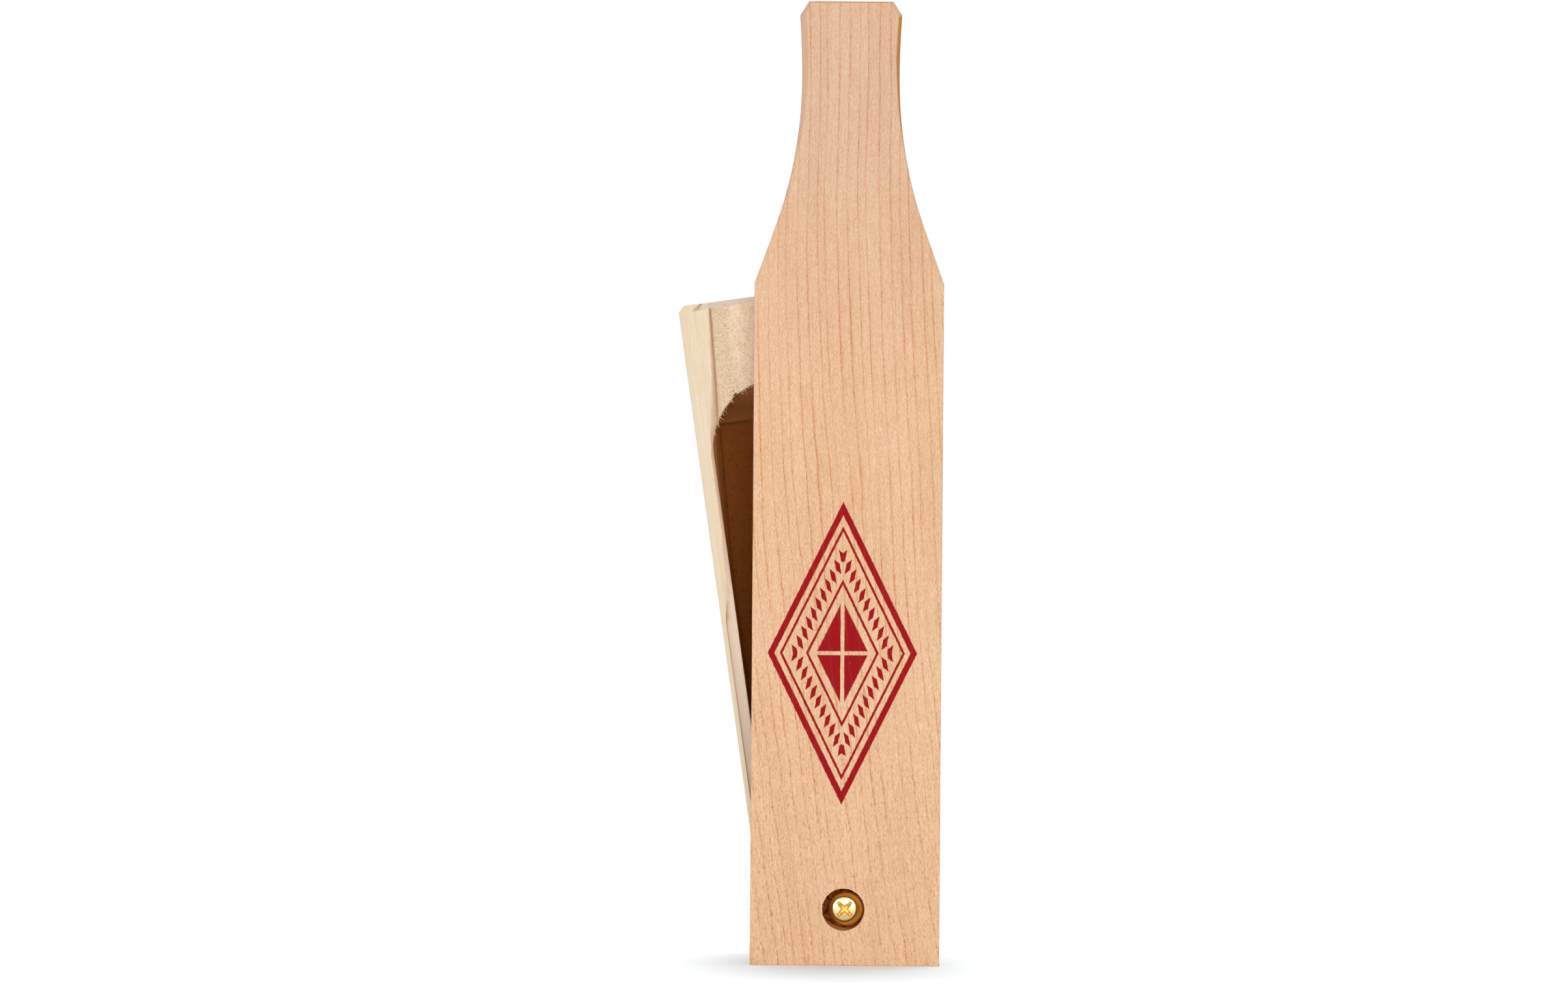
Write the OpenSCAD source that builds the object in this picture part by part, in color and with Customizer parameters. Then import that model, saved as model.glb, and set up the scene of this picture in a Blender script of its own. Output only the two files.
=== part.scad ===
// Wooden box call: a milled sound box and a paddle lid that swings on one sprung screw.
// It stands on the lid's square end, with the lid's face towards -Y and its handle up.
// The box leans to the left about the screw until the corner of its own end meets the floor.
// The origin is the middle of the lid's square end. Lengths are in millimetres.

/* [Lid] */
// Length of the lid from its square end to the tip of the handle
lid_len = 226; // [216:1:250]
// Width of the lid's blade
lid_w = 44.45; // [42:0.05:48]
// Thickness of the lid along its middle
lid_t = 9.5; // [8.5:0.1:12]
// How much the arched underside rises from its middle to the edges of the blade
belly_rise = 2; // [1:0.1:3]
// Height at which the straight edges of the blade end
shoulder_z = 159.8; // [140:0.1:166]

/* [Handle] */
// Width of the handle at its waist
waist_w = 22.9; // [18:0.1:28]
// Height of the waist
waist_z = 208; // [200:0.5:212]
// Radius of the hollow curve below the waist
waist_r = 105; // [80:1:120]
// Radius of the flatter curve from the waist to the tip
tip_r = 200; // [150:5:400]
// Width that each clipped corner of the tip takes off
tip_clip_w = 2.1; // [0.5:0.1:4]
// Height that each clipped corner of the tip takes off
tip_clip_h = 3.3; // [0.5:0.1:4]
// Bevel along the left edge of the handle
left_bevel = 1.5; // [0.5:0.1:2]
// Bevel along the right edge of the handle
right_bevel = 0.9; // [0.5:0.1:2]
// How far above the waist the two long bevels are widest, so that they fade out below it
bevel_lift = 4; // [2:0.5:6]
// Bevel across the tip and its clipped corners
tip_bevel = 0.8; // [0.3:0.1:1.5]

/* [Screw seat] */
// Height of the screw above the lid's square end
screw_z = 13.1; // [12:0.1:15]
// Diameter of the counterbore in the lid's face
seat_d = 9.7; // [9:0.1:12]
// Depth of the counterbore's straight wall
seat_depth = 4; // [3:0.1:4.5]
// Angle of the counterbore's drilled point
drill_angle = 118; // [110:1:140]
// How far the screw stands to the right of the counterbore's middle
seat_offset = 0.35; // [0:0.05:0.5]
// Diameter of the loose hole for the screw's shank
lid_hole_d = 4.8; // [4.6:0.1:5.2]

/* [Sound box] */
// Width of the sound box
box_w = 39.1; // [37:0.1:43]
// Height of the sound box from its rims to its back
box_h = 36; // [34:0.5:50]
// Length of the box beyond the screw, towards the handle
box_reach = 145.6; // [136:0.1:158]
// Length of the box behind the screw
box_rear = 10.6; // [9.5:0.1:12]
// Bevel along the four long edges
long_bevel = 1.25; // [0.5:0.05:2]
// Bevel across the ends
end_bevel = 1.6; // [0.5:0.1:2.5]
// Size of the clipped corners between the sides and the ends
corner_clip = 1.4; // [0.5:0.1:2.5]
// Width of rim that the end bevel leaves whole at each corner of the far end
corner_land = 2.9; // [1:0.1:4]
// How far the slanted end of that bevel runs inwards
land_slant = 2.4; // [0.5:0.1:4]

/* [Sound chamber] */
// Width of the chamber, which is the diameter of its cutter
chamber_w = 31.75; // [28:0.05:32.5]
// Depth of the chamber below the rims
chamber_depth = 29; // [22:0.5:30]
// Solid wood between the screw and the chamber
pivot_block = 18; // [14:0.5:26]
// Solid wood between the chamber and the far end
end_block = 19.9; // [14:0.1:26]
// How far the chamber's floor stops short of its rounded far end
end_ramp = 8.7; // [0.5:0.1:12]
// How far each side of the floor is drawn in at the rounded end
side_ramp = 1.5; // [0.1:0.1:3]
// Length over which the sides of the floor are drawn in
side_ramp_len = 30; // [10:1:50]

/* [Rims] */
// Depth of the step from the striking rims to the surface inside them
rim_step = 0.55; // [0.3:0.05:1]
// Depth of the shallow pass of the cutter over the block that holds the screw
pivot_step = 1.6; // [1.3:0.1:2.5]

/* [Screw] */
// Diameter of the pan head
head_d = 6; // [5.8:0.1:6.4]
// Height of the pan head
head_h = 2.3; // [2.1:0.1:2.7]
// Radius to which the top of the head is domed
crown_r = 8.8; // [7:0.2:12]
// Width of the edge that the head is rounded by, taken as a cone
head_edge_w = 0.25; // [0.1:0.05:0.5]
// Height of that edge
head_edge_h = 0.5; // [0.2:0.05:0.8]
// Diameter of the plain shank and over the thread
shank_d = 3.5; // [3:0.1:3.6]
// Length of the screw below its head
screw_len = 31.75; // [29:0.05:33]
// Length of the plain shank
plain_len = 14; // [10:0.5:16]
// Distance from one thread to the next
thread_pitch = 1.4; // [1:0.1:2]
// Depth of the thread
thread_depth = 0.5; // [0.2:0.05:0.6]
// Length of the screw's point
point_len = 4; // [2:0.5:6]
// Span of the cross in the head
cross_span = 4.4; // [3.4:0.1:4.8]
// Width of the arms of the cross
cross_w = 0.95; // [0.5:0.05:1.2]
// Depth of the cross
cross_depth = 1.6; // [0.8:0.1:1.8]

/* [Spring] */
// Diameter of the spring's wire
wire_d = 0.7; // [0.5:0.05:0.8]
// Diameter of the spring, measured to the middle of its wire
coil_d = 5.6; // [5.4:0.1:5.8]
// Number of turns
coil_turns = 6; // [4:1:6]
// Depth of the pocket that holds the spring
pocket_depth = 7; // [6.5:0.5:9]

/* [Fits] */
// Gap between the lid's underside and the rims
rim_gap = 0.3; // [0.2:0.05:0.6]
// Gap beside the screw's thread in its hole
thread_gap = 0.05; // [0.02:0.01:0.1]
// Gap under the screw's head
head_gap = 0.04; // [0.02:0.01:0.1]
// Gap at each end of the spring
spring_gap = 0.1; // [0.05:0.05:0.3]
// Gap between the spring and the wall of its pocket
pocket_gap = 0.65; // [0.4:0.05:0.9]

/* [Hidden] */
$fn = 96;

// Steps along the hollow below the waist and along the one above it
waist_steps = 20;
tip_steps = 6;
// Sides of the broad curves, the arched underside and the bevels of the handle
broad_sides = 720;
// Overrun of every cut past the surface it opens
over = 1;

// Where the inner edge of a rim runs: shares of the box's half width and of its reach
rim_line_shares = [
    [0.630, 1.000], [0.735, 0.860], [0.807, 0.804], [0.848, 0.755],
    [0.853, 0.632], [0.879, 0.550], [0.945, 0.480],
];
// Share of the cross's span that is left at its bottom
cross_bottom_share = 0.3;
// Share of a thread's pitch at which its crest stands
crest_share = 0.5;

// Rings in a turn of the spring, and sides of its wire
turn_rings = 8;
wire_sides = 6;

blade_x = lid_w / 2;
waist_x = waist_w / 2;
belly_r = (pow(blade_x, 2) + pow(belly_rise, 2)) / (2 * belly_rise);
waist_sag = belly_r - sqrt(pow(belly_r, 2) - pow(waist_x, 2));
tip_angle = asin((lid_len - tip_clip_h - waist_z) / tip_r);
tip_x = waist_x + tip_r * (1 - cos(tip_angle));

// The straight flank from the shoulder touches the hollow curve of the waist
waist_cx = waist_x + waist_r;
to_centre = [waist_cx - blade_x, waist_z - shoulder_z];
flank_angle = atan2(to_centre.y, to_centre.x) + asin(waist_r / norm(to_centre)) - 90;

// Depths along Y
face_y = -lid_t / 2;
crown_y = lid_t / 2;
rim_y = crown_y + rim_gap;

// The head rests on the drilled point of the counterbore
seat_rise = tan(drill_angle / 2);
seat_point = seat_d / 2 / seat_rise;
head_seat = seat_depth + (seat_d / 2 - head_d / 2 - seat_offset) / seat_rise;
head_y = face_y + head_seat - head_gap;

// The box leans until the foot of its clipped corner meets the floor
foot = [box_w / 2 - corner_clip, box_rear];
lean = atan2(foot.x, foot.y) - acos(screw_z / norm(foot));

// Places along the box, measured from the screw towards the handle
box_len = box_rear + box_reach;
chamber_r = chamber_w / 2;
chamber_end = box_reach - end_block;
chamber_from = pivot_block + chamber_r;
chamber_to = chamber_end - chamber_r;

pocket_floor = pivot_step + pocket_depth;
pocket_d = coil_d + wire_d + 2 * pocket_gap;
screw_tip = head_y + screw_len - rim_y;

// Moves what is drawn about the screw, with its depth counted from the rims, into the leaning box
module in_box() {
    translate([0, rim_y, screw_z]) rotate([0, -lean, 0]) children();
}

// Fills an outline drawn in X and Z, from one depth along Y to another
module plate(y_from, y_to) {
    translate([0, y_to, 0]) rotate([90, 0, 0]) linear_extrude(y_to - y_from) children();
}

// A round bar or cone along Y
module bar_y(y_from, y_to, r_from, r_to) {
    translate([0, y_from, 0]) rotate([-90, 0, 0]) cylinder(h = y_to - y_from, r1 = r_from, r2 = r_to);
}

// A 45 degree cut along an edge on the front, seen in X and Z with the wood on its right
module edge_cut(from, to, y, size) {
    run = to - from;
    reach = norm(run) + 2 * over;
    translate([from.x, y, from.y])
        rotate([0, -atan2(run.y, run.x), 0]) rotate([45, 0, 0])
            translate([-over, -reach / 2, -size / sqrt(2)]) cube([reach, reach, reach]);
}

// A rectangle about the origin with clipped corners
module clipped_rectangle(w, h, clip) {
    x = w / 2;
    y = h / 2;
    polygon([
        [x - clip, -y], [x, clip - y], [x, y - clip], [x - clip, y],
        [clip - x, y], [-x, y - clip], [-x, clip - y], [clip - x, -y],
    ]);
}

// Points of an arc about a centre that lies to the right of the handle
function hollow(r, from, to, steps) =
    [for (i = [0:steps])
        let (a = from + (to - from) * i / steps)
        [waist_x + r - r * cos(a), waist_z + r * sin(a)]];

module lid_outline() {
    right = concat(
        [[blade_x, 0], [blade_x, shoulder_z]],
        hollow(waist_r, -flank_angle, 0, waist_steps),
        hollow(tip_r, tip_angle / tip_steps, tip_angle, tip_steps - 1),
        [[tip_x - tip_clip_w, lid_len]]
    );
    left = [for (i = [len(right) - 1:-1:0]) [-right[i].x, right[i].y]];
    polygon(concat(right, left));
}

// A cone that bevels one long edge of the handle where it meets a face at skin_y
module handle_bevel(side, size, skin_y) {
    translate([side * waist_cx, 0, waist_z + bevel_lift])
        bar_y(skin_y - over, skin_y + size, waist_r + size + over, waist_r);
}

module lid_bevels() {
    corners = [
        [-tip_x, lid_len - tip_clip_h], [tip_clip_w - tip_x, lid_len],
        [tip_x - tip_clip_w, lid_len], [tip_x, lid_len - tip_clip_h],
    ];
    for (back = [0, 1])
        mirror([0, back, 0]) {
            skin_y = face_y + back * waist_sag;
            handle_bevel(-1, left_bevel, skin_y);
            handle_bevel(1, right_bevel, skin_y);
            for (i = [0:2])
                edge_cut(corners[i], corners[i + 1], skin_y, tip_bevel);
        }
}

module screw_seat() {
    translate([-seat_offset, 0, screw_z]) {
        bar_y(face_y - over, face_y + seat_depth, seat_d / 2, seat_d / 2);
        bar_y(face_y + seat_depth, face_y + seat_depth + seat_point, seat_d / 2, 0);
    }
    translate([0, 0, screw_z]) bar_y(face_y, crown_y + over, lid_hole_d / 2, lid_hole_d / 2);
}

module lid() {
    color("#dfa77c")
    difference() {
        intersection() {
            plate(face_y, crown_y) lid_outline();
            translate([0, crown_y - belly_r, -over])
                cylinder(h = lid_len + 2 * over, r = belly_r, $fn = broad_sides);
        }
        lid_bevels();
        screw_seat();
    }
}

module box_blank() {
    intersection() {
        translate([0, box_h / 2, -box_rear])
            linear_extrude(box_len) clipped_rectangle(box_w, box_h, long_bevel);
        translate([0, 0, (box_reach - box_rear) / 2])
            plate(0, box_h) clipped_rectangle(box_w, box_len, corner_clip);
    }
}

// Bevels across both ends, full width but for the striking end's front edge
module end_bevels() {
    left = [-box_w / 2, 0];
    right = [box_w / 2, 0];
    land_x = box_w / 2 - corner_land;
    intersection() {
        translate([0, 0, box_reach]) edge_cut(left, right, 0, end_bevel);
        plate(-over, end_bevel)
            polygon([
                [-land_x, box_reach - end_bevel], [land_x, box_reach - end_bevel],
                [land_x - land_slant, box_reach], [land_x - land_slant, box_reach + over],
                [land_slant - land_x, box_reach + over], [land_slant - land_x, box_reach],
            ]);
    }
    translate([0, box_h, box_reach]) mirror([0, 1, 0]) edge_cut(left, right, 0, end_bevel);
    translate([0, 0, -box_rear]) edge_cut(right, left, 0, end_bevel);
    translate([0, box_h, -box_rear]) mirror([0, 1, 0]) edge_cut(right, left, 0, end_bevel);
}

// Wood that the cutter leaves where the floor is drawn in, at the rounded end and along one side
module chamber_ramps() {
    slope_along = atan(side_ramp / side_ramp_len);
    slope_down = atan(side_ramp / chamber_depth * cos(slope_along));
    block = 2 * (chamber_depth + side_ramp_len + chamber_w);
    translate([-chamber_r, 0, 0]) rotate([90, 0, 90]) linear_extrude(chamber_w)
        polygon([
            [0, chamber_end], [chamber_depth, chamber_end - end_ramp],
            [chamber_depth, chamber_end],
        ]);
    for (right = [0, 1])
        mirror([right, 0, 0])
            translate([-chamber_r, 0, chamber_to])
                rotate([0, slope_along, 0]) rotate([0, 0, -slope_down])
                    translate([-block, -block / 2, -block / 2]) cube(block);
}

module chamber() {
    difference() {
        plate(-over, chamber_depth) {
            translate([0, chamber_from]) circle(r = chamber_r);
            translate([-chamber_r, chamber_from]) square([chamber_w, chamber_to - chamber_from]);
            translate([0, chamber_to]) circle(r = chamber_r);
        }
        chamber_ramps();
    }
}

// The surface inside the rims, which the lid doesn't touch
module rim_relief() {
    inner = [for (p = rim_line_shares) [p.x * box_w / 2, p.y * box_reach]];
    last = len(inner) - 1;
    right = concat([[inner[0].x, box_reach + over]], inner, [[inner[last].x, -box_rear - over]]);
    left = [for (i = [last + 2:-1:0]) [-right[i].x, right[i].y]];
    plate(-over, rim_step) polygon(concat(right, left));
    plate(-over, pivot_step)
        translate([-chamber_r, -box_rear - over]) square([chamber_w, chamber_from + box_rear + over]);
}

module sound_box() {
    color("#ecd9b8")
    in_box() difference() {
        box_blank();
        end_bevels();
        chamber();
        rim_relief();
        bar_y(0, pocket_floor, pocket_d / 2, pocket_d / 2);
        bar_y(0, screw_tip + over, shank_d / 2 + thread_gap, shank_d / 2 + thread_gap);
    }
}

// Half section of the screw below its head, as radius and distance along it
function screw_section() =
    let (
        core = shank_d / 2 - thread_depth,
        turns = floor((screw_len - point_len - plain_len) / thread_pitch),
        thread_end = plain_len + turns * thread_pitch
    )
    concat(
        [[0, 0], [shank_d / 2, 0], [shank_d / 2, plain_len], [core, plain_len]],
        [for (i = [0:turns - 1], top = [1, 0])
            [top == 1 ? shank_d / 2 : core, plain_len + (i + (top == 1 ? crest_share : 1)) * thread_pitch]],
        [[core, max(thread_end, screw_len - point_len)], [0, screw_len]]
    );

module cross_recess() {
    intersection() {
        for (turn = [45, 135])
            rotate([0, turn, 0])
                translate([-cross_span / 2, -head_h - over, -cross_w / 2])
                    cube([cross_span, cross_depth + over, cross_w]);
        bar_y(-head_h - over, cross_depth - head_h,
              cross_span / 2 * (1 + over / cross_depth), cross_span / 2 * cross_bottom_share);
    }
}

module lid_screw() {
    edge_r = head_d / 2 - head_edge_w;
    edge_fall = crown_r - sqrt(pow(crown_r, 2) - pow(edge_r, 2));
    edge_slope = head_edge_w / head_edge_h;
    color("#e6c25a")
    translate([0, head_y, screw_z]) {
        difference() {
            intersection() {
                translate([0, crown_r - head_h, 0]) sphere(r = crown_r);
                bar_y(-head_h - over, 0, head_d / 2, head_d / 2);
                bar_y(-head_h - over, 0, edge_r - (over + edge_fall) * edge_slope,
                      edge_r + (head_h - edge_fall) * edge_slope);
            }
            cross_recess();
        }
        rotate([-90, 0, 0]) rotate_extrude() polygon(screw_section());
    }
}

// The spring's middle line from the lid to the floor of its pocket
coil_from = crown_y + spring_gap + wire_d / 2;
coil_to = rim_y + pocket_floor - spring_gap - wire_d / 2;
coil_steps = coil_turns * turn_rings;
function coil_point(step) =
    let (angle = 360 * step / turn_rings, rise = (coil_to - coil_from) * step / coil_steps)
    [coil_d / 2 * cos(angle), coil_from + rise, screw_z + coil_d / 2 * sin(angle)];
function unit(v) = v / norm(v);

// Each end runs straight, level and square to the radius for one diameter of the wire
coil_line = concat(
    [coil_point(0) - [0, 0, wire_d]],
    [for (step = [0:coil_steps]) coil_point(step)],
    [coil_point(coil_steps) + [0, 0, wire_d]]
);

// The rings of a round wire along a line of points
function wire_ring(line, i) =
    let (
        last = len(line) - 1,
        ahead = unit(line[min(i + 1, last)] - line[max(i - 1, 0)]),
        outwards = [line[i].x, 0, line[i].z - screw_z],
        side = unit(outwards - (outwards * ahead) * ahead),
        up = cross(ahead, side)
    )
    [for (k = [0:wire_sides - 1])
        line[i] + wire_d / 2 * (cos(360 * k / wire_sides) * side + sin(360 * k / wire_sides) * up)];

module wire(line) {
    rings = len(line);
    points = [for (i = [0:rings - 1]) each wire_ring(line, i)];
    sides = [for (i = [0:rings - 2], k = [0:wire_sides - 1])
        let (a = i * wire_sides + k, b = i * wire_sides + (k + 1) % wire_sides)
        each [[a, b, a + wire_sides], [b, b + wire_sides, a + wire_sides]]];
    caps = [for (k = [1:wire_sides - 2])
        each [[0, k + 1, k], [0, k, k + 1] + [1, 1, 1] * (rings - 1) * wire_sides]];
    polyhedron(points, concat(sides, caps));
}

// The least gap between stretches of the spring that are over half a turn apart
coil_gap = min([for (i = [0:coil_steps], j = [i + turn_rings / 2:1:coil_steps])
    norm(coil_point(i) - coil_point(j))]) - wire_d;
echo("least gap in the spring", coil_gap);

module lid_spring() {
    color("#c9ccd0") wire(coil_line);
}

sound_box();
lid();
lid_screw();
lid_spring();
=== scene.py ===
"""Wooden box call: a milled sound box under a paddle lid that swings on one sprung screw."""

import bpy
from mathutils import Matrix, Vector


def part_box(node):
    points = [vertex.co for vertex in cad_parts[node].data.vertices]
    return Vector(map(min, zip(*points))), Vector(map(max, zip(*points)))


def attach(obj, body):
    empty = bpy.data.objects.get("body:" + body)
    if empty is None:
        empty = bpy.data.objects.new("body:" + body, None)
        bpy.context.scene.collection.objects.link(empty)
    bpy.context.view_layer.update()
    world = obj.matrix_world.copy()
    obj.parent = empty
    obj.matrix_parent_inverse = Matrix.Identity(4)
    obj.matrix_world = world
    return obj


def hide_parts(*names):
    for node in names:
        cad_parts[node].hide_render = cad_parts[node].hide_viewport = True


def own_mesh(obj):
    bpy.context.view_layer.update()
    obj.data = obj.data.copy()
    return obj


bl_info = {
    "name": "Wooden Box Call",
    "version": (1, 0, 0),
    "blender": (4, 5, 0),
    "location": "3D View > Sidebar > Box Call",
    "description": "Makes the sound box, the paddle lid, the screw and the spring of a box call",
    "category": "Add Mesh",
}

import math
from types import SimpleNamespace

import bmesh
import bpy
import numpy as np
from bpy.props import FloatProperty, FloatVectorProperty, IntProperty, PointerProperty
from mathutils import Matrix, Vector, noise
from mathutils.geometry import delaunay_2d_cdt

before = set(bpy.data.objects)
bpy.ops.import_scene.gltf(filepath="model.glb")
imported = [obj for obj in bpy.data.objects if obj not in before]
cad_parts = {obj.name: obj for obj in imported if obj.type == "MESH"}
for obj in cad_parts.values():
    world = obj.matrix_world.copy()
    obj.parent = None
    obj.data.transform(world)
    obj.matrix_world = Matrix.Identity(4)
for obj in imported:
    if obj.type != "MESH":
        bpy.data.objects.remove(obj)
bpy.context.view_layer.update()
LID_LOW, LID_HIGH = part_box("lid")
SCREW_LOW, SCREW_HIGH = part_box("lid_screw")
BOX_LOW, BOX_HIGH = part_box("sound_box")

MM = 0.001
PER_METRE = 1000.0
SCREW_HEIGHT = (SCREW_LOW.z + SCREW_HIGH.z) / 2
SCREW_UP = SCREW_HEIGHT * PER_METRE
SCREW_SIDES, SEAT_SIDES, POCKET_SIDES = 96, 132, 72
COIL_STEPS = 40
# Widths over which two cuts are rounded into each other, in the lid and in the box
LID_BLEND, BOX_BLEND = 0.12, 0.1
RIM_SOFTNESS = 0.14
# Height from which the lid's points stand closer together
HANDLE_FOOT = 175.0
UNMARKED = (0, 0, 0, 0)
IN_BORE = (0.6, 0.5, 0, 0)
# Torn tuft on the chamber's edge: its middle across the box and along it from the screw, how
# far its fibres are spread both ways, and how many they are
TUFT, TUFT_SPREAD, TUFT_FIBRES = (-9.0, 123.1), (0.36, 0.26), 230
# How far right of the screw the painted light and brass reflection on the counterbore's floor has
# its middle
LIT_AMBER_RIGHT = 0.35
# Sockets of the Mix node when it mixes colours, and of the Random Value node
MIX_FIRST, MIX_SECOND, MIX_RESULT = 6, 7, 2
RANDOM_SEED = 8
RANDOM_LOW_HIGH_RESULT = {"FLOAT": (2, 3, 1), "FLOAT_VECTOR": (0, 1, 0)}
LAMPS_AIM = (0, 0.01, 0.11)

# Shades that no setting changes, as linear red, green and blue
SHADED_LEFT_BEVEL = (0.8, 0.46, 0.31)
SHADED_RIGHT_BEVEL = (0.64, 0.21, 0.02)
SAWN_TIP = (0.76, 0.67, 0.58)
SINGED = (0.5, 0.17, 0.045)
CHARRED = (0.5, 0.12, 0.015)
LIT_DEEP_AMBER = (1.0, 0.37, 0.035)
LIT_AMBER = (1.0, 0.49, 0.08)
MILLED_LIT = (1.0, 0.79, 0.57)
FUZZ_PALE = (1.0, 0.86, 0.62)
RIM_SHADE = (0.6, 0.38, 0.21)
LIT_NEAR_PIVOT = (1.0, 0.82, 0.66)
LIT_LONG_BEVEL = (1.0, 0.8, 0.58)
CHATTER_DARK = (0.08, 0.03, 0.01)
FIBRE_BROWN = (0.62, 0.38, 0.18)
TUFT_DARK = (0.15, 0.055, 0.015)
TARNISH = (0.66, 0.40, 0.13)
HOLLOW_BRASS = (0.86, 0.52, 0.1)
WIRE_GREY = (0.30, 0.31, 0.33)
FLOOR_GREY = (0.85, 0.85, 0.85)


def length(name, description, default):
    """A length in metres that a user can change."""
    return FloatProperty(
        name=name, description=description, default=default, min=0, unit="LENGTH",
        subtype="DISTANCE", precision=5,
    )


def angle(name, description, degrees):
    """An angle that a user can change."""
    return FloatProperty(
        name=name, description=description, default=math.radians(degrees), unit="ROTATION",
        subtype="ANGLE",
    )


def colour(name, description, code):
    """A colour that a user can change, given as it looks on screen."""
    return FloatVectorProperty(
        name=name, description=description, default=linear(code), size=3, min=0, max=1,
        subtype="COLOR",
    )


def linear(code):
    """The linear red, green and blue of a colour given as it looks on screen, such as e8b893."""
    shares = [int(code[i:i + 2], 16) / 255 for i in (0, 2, 4)]
    return tuple(c / 12.92 if c <= 0.04045 else ((c + 0.055) / 1.055) ** 2.4 for c in shares)


class LidSettings(bpy.types.PropertyGroup):
    long: length("Length", "From the square end to the tip of the handle", LID_HIGH.z)
    wide: length("Width", "Width of the blade", LID_HIGH.x - LID_LOW.x)
    thick: length("Thickness", "Thickness along the middle", LID_HIGH.y - LID_LOW.y)
    belly: length("Belly", "Rise of the arched underside from its middle to its edges", 0.002)
    shoulder: length("Shoulder", "Height at which the straight edges end", 0.1598)
    waist: length("Waist", "Width of the handle at its narrowest", 0.0229)
    waist_height: length("Waist height", "Height of the narrowest place", 0.208)
    waist_radius: length("Waist radius", "Radius of the hollow below the waist", 0.105)
    tip_radius: length("Tip radius", "Radius of the hollow above the waist", 0.2)
    clip_across: length("Clip across", "Width taken off each corner of the tip", 0.0021)
    clip_along: length("Clip along", "Height taken off each corner of the tip", 0.0033)
    left_bevel: length("Left bevel", "Bevel along the left edge of the handle", 0.0015)
    right_bevel: length("Right bevel", "Bevel along the right edge of the handle", 0.0009)
    bevel_lift: length("Bevel lift", "How far above the waist the bevels are widest", 0.004)
    tip_bevel: length("Tip bevel", "Bevel across the clipped corners of the tip", 0.0008)
    top_bevel: length("Top bevel", "Bevel across the end of the tip", 0.0002)
    softness: length("Softness", "Radius to which the edges are sanded", 0.00022)
    seat: length("Counterbore", "Diameter of the counterbore", 0.0097)
    seat_depth: length("Counterbore depth", "Depth of its straight wall", 0.004)
    seat_offset: length("Counterbore offset", "How far it stands left of the screw", 0.00035)
    hole: length("Hole", "Diameter of the loose hole for the screw", 0.0048)
    drill: angle("Drill point", "Angle of the counterbore's drilled floor", 118)
    ring: length("Ring spacing", "Distance between the rings that show on the face", 0.0022)
    pale: colour("Pale wood", "Colour of the wood between its rings", "ffd8b1")
    warm: colour("Warm wood", "Colour of the broad warmer bands", "da9c6b")
    dark: colour("Ring", "Colour of the dark line of each ring", "ce6c27")
    edge: colour("Sanded edge", "Colour of the right bevel, browned by sanding", "c87c30")
    cool: colour("Cool wood", "Colour that greys the handle", "cbb3aa")
    print_red: colour("Print", "Colour of the printed ornament", "a30812")
    scorch: colour("Scorch", "Colour of the burnt wall of the counterbore", "4c1a0a")


class SoundBoxSettings(bpy.types.PropertyGroup):
    wide: length("Width", "Width of the box", 0.0391)
    deep: length("Height", "From the rims to the back", BOX_HIGH.y - BOX_LOW.y)
    reach: length("Reach", "Length beyond the screw, towards the handle", 0.1456)
    rear: length("Rear", "Length behind the screw", 0.0106)
    gap: length("Gap", "Gap between the lid and the rims", 0.0003)
    long_bevel: length("Long bevel", "Bevel along the four long edges", 0.00125)
    end_bevel: length("End bevel", "Bevel across the ends", 0.0016)
    end_sink: length("End sink", "How much lower that bevel runs between the rims", 0.0004)
    corner: length("Corner", "Size of the clipped corners", 0.0014)
    land: length("Land", "Rim that the end bevel leaves whole at each corner", 0.0029)
    land_slant: length("Land slant", "How far the end of that bevel runs inwards", 0.0024)
    chamber: length("Chamber", "Width of the chamber and of its cutter", 0.03175)
    chamber_depth: length("Chamber depth", "Depth of the chamber below the rims", 0.029)
    pivot_block: length("Pivot block", "Wood between the screw and the chamber", 0.018)
    end_block: length("End block", "Wood between the chamber and the far end", 0.0199)
    end_ramp: length("End ramp", "How far the floor stops short of the rounded end", 0.0087)
    side_ramp: length("Side ramp", "How far the floor is drawn in at the rounded end", 0.0015)
    side_ramp_long: length("Side ramp length", "Length over which it is drawn in", 0.03)
    step: length("Step", "Depth of the step inside the rims", 0.00055)
    channel: length("Channel", "Depth of the cutter's pass over the pivot block", 0.0016)
    pocket: length("Pocket", "Diameter of the spring's pocket", 0.0076)
    pocket_depth: length("Pocket depth", "Depth of that pocket below the channel", 0.007)
    bore: length("Bore", "Diameter of the screw's hole", 0.0036)
    fibre: length("Fibre", "Length of the longest torn fibre", 0.0013)
    lean: angle("Lean", "How far the box leans to the left about the screw", 8.26849)
    pale: colour("Pale wood", "Colour of the planed wood", "fbe8cd")
    warm: colour("Warm wood", "Colour of the faint bands in it", "e3c59d")
    milled: colour("Milled wood", "Colour of the rough wood inside the rims", "e2c7a5")
    torn: colour("Torn wood", "Colour of the torn slope of the rims", "dcb9a3")
    end_pale: colour("End grain", "Colour of the sawn end", "e9d8c8")
    end_dark: colour("End pores", "Colour of the pores in it", "c6b09e")
    # Also used for the grain lines, the chamber's chatter and the painted shadow line at the foot
    # of the step
    edge: colour("Step edge", "Colour of the line at the foot of the step", "a9764a")
    # Scorched, and darker as painted shade at the bottom of the deep chamber
    scorched_and_shaded: colour("Scorched wood", "Colour of the floor that the cutter has burnt", "c47c36")
    # Painted light: the lit band on the chamber's sides
    lit_side_band: colour("Golden wood", "Colour of the chamber's sides, cut along the grain", "ffcb7c")
    browned: colour(
        "Browned end", "Colour of the chamber's rounded end, cut across the grain", "e39f5c"
    )


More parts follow.
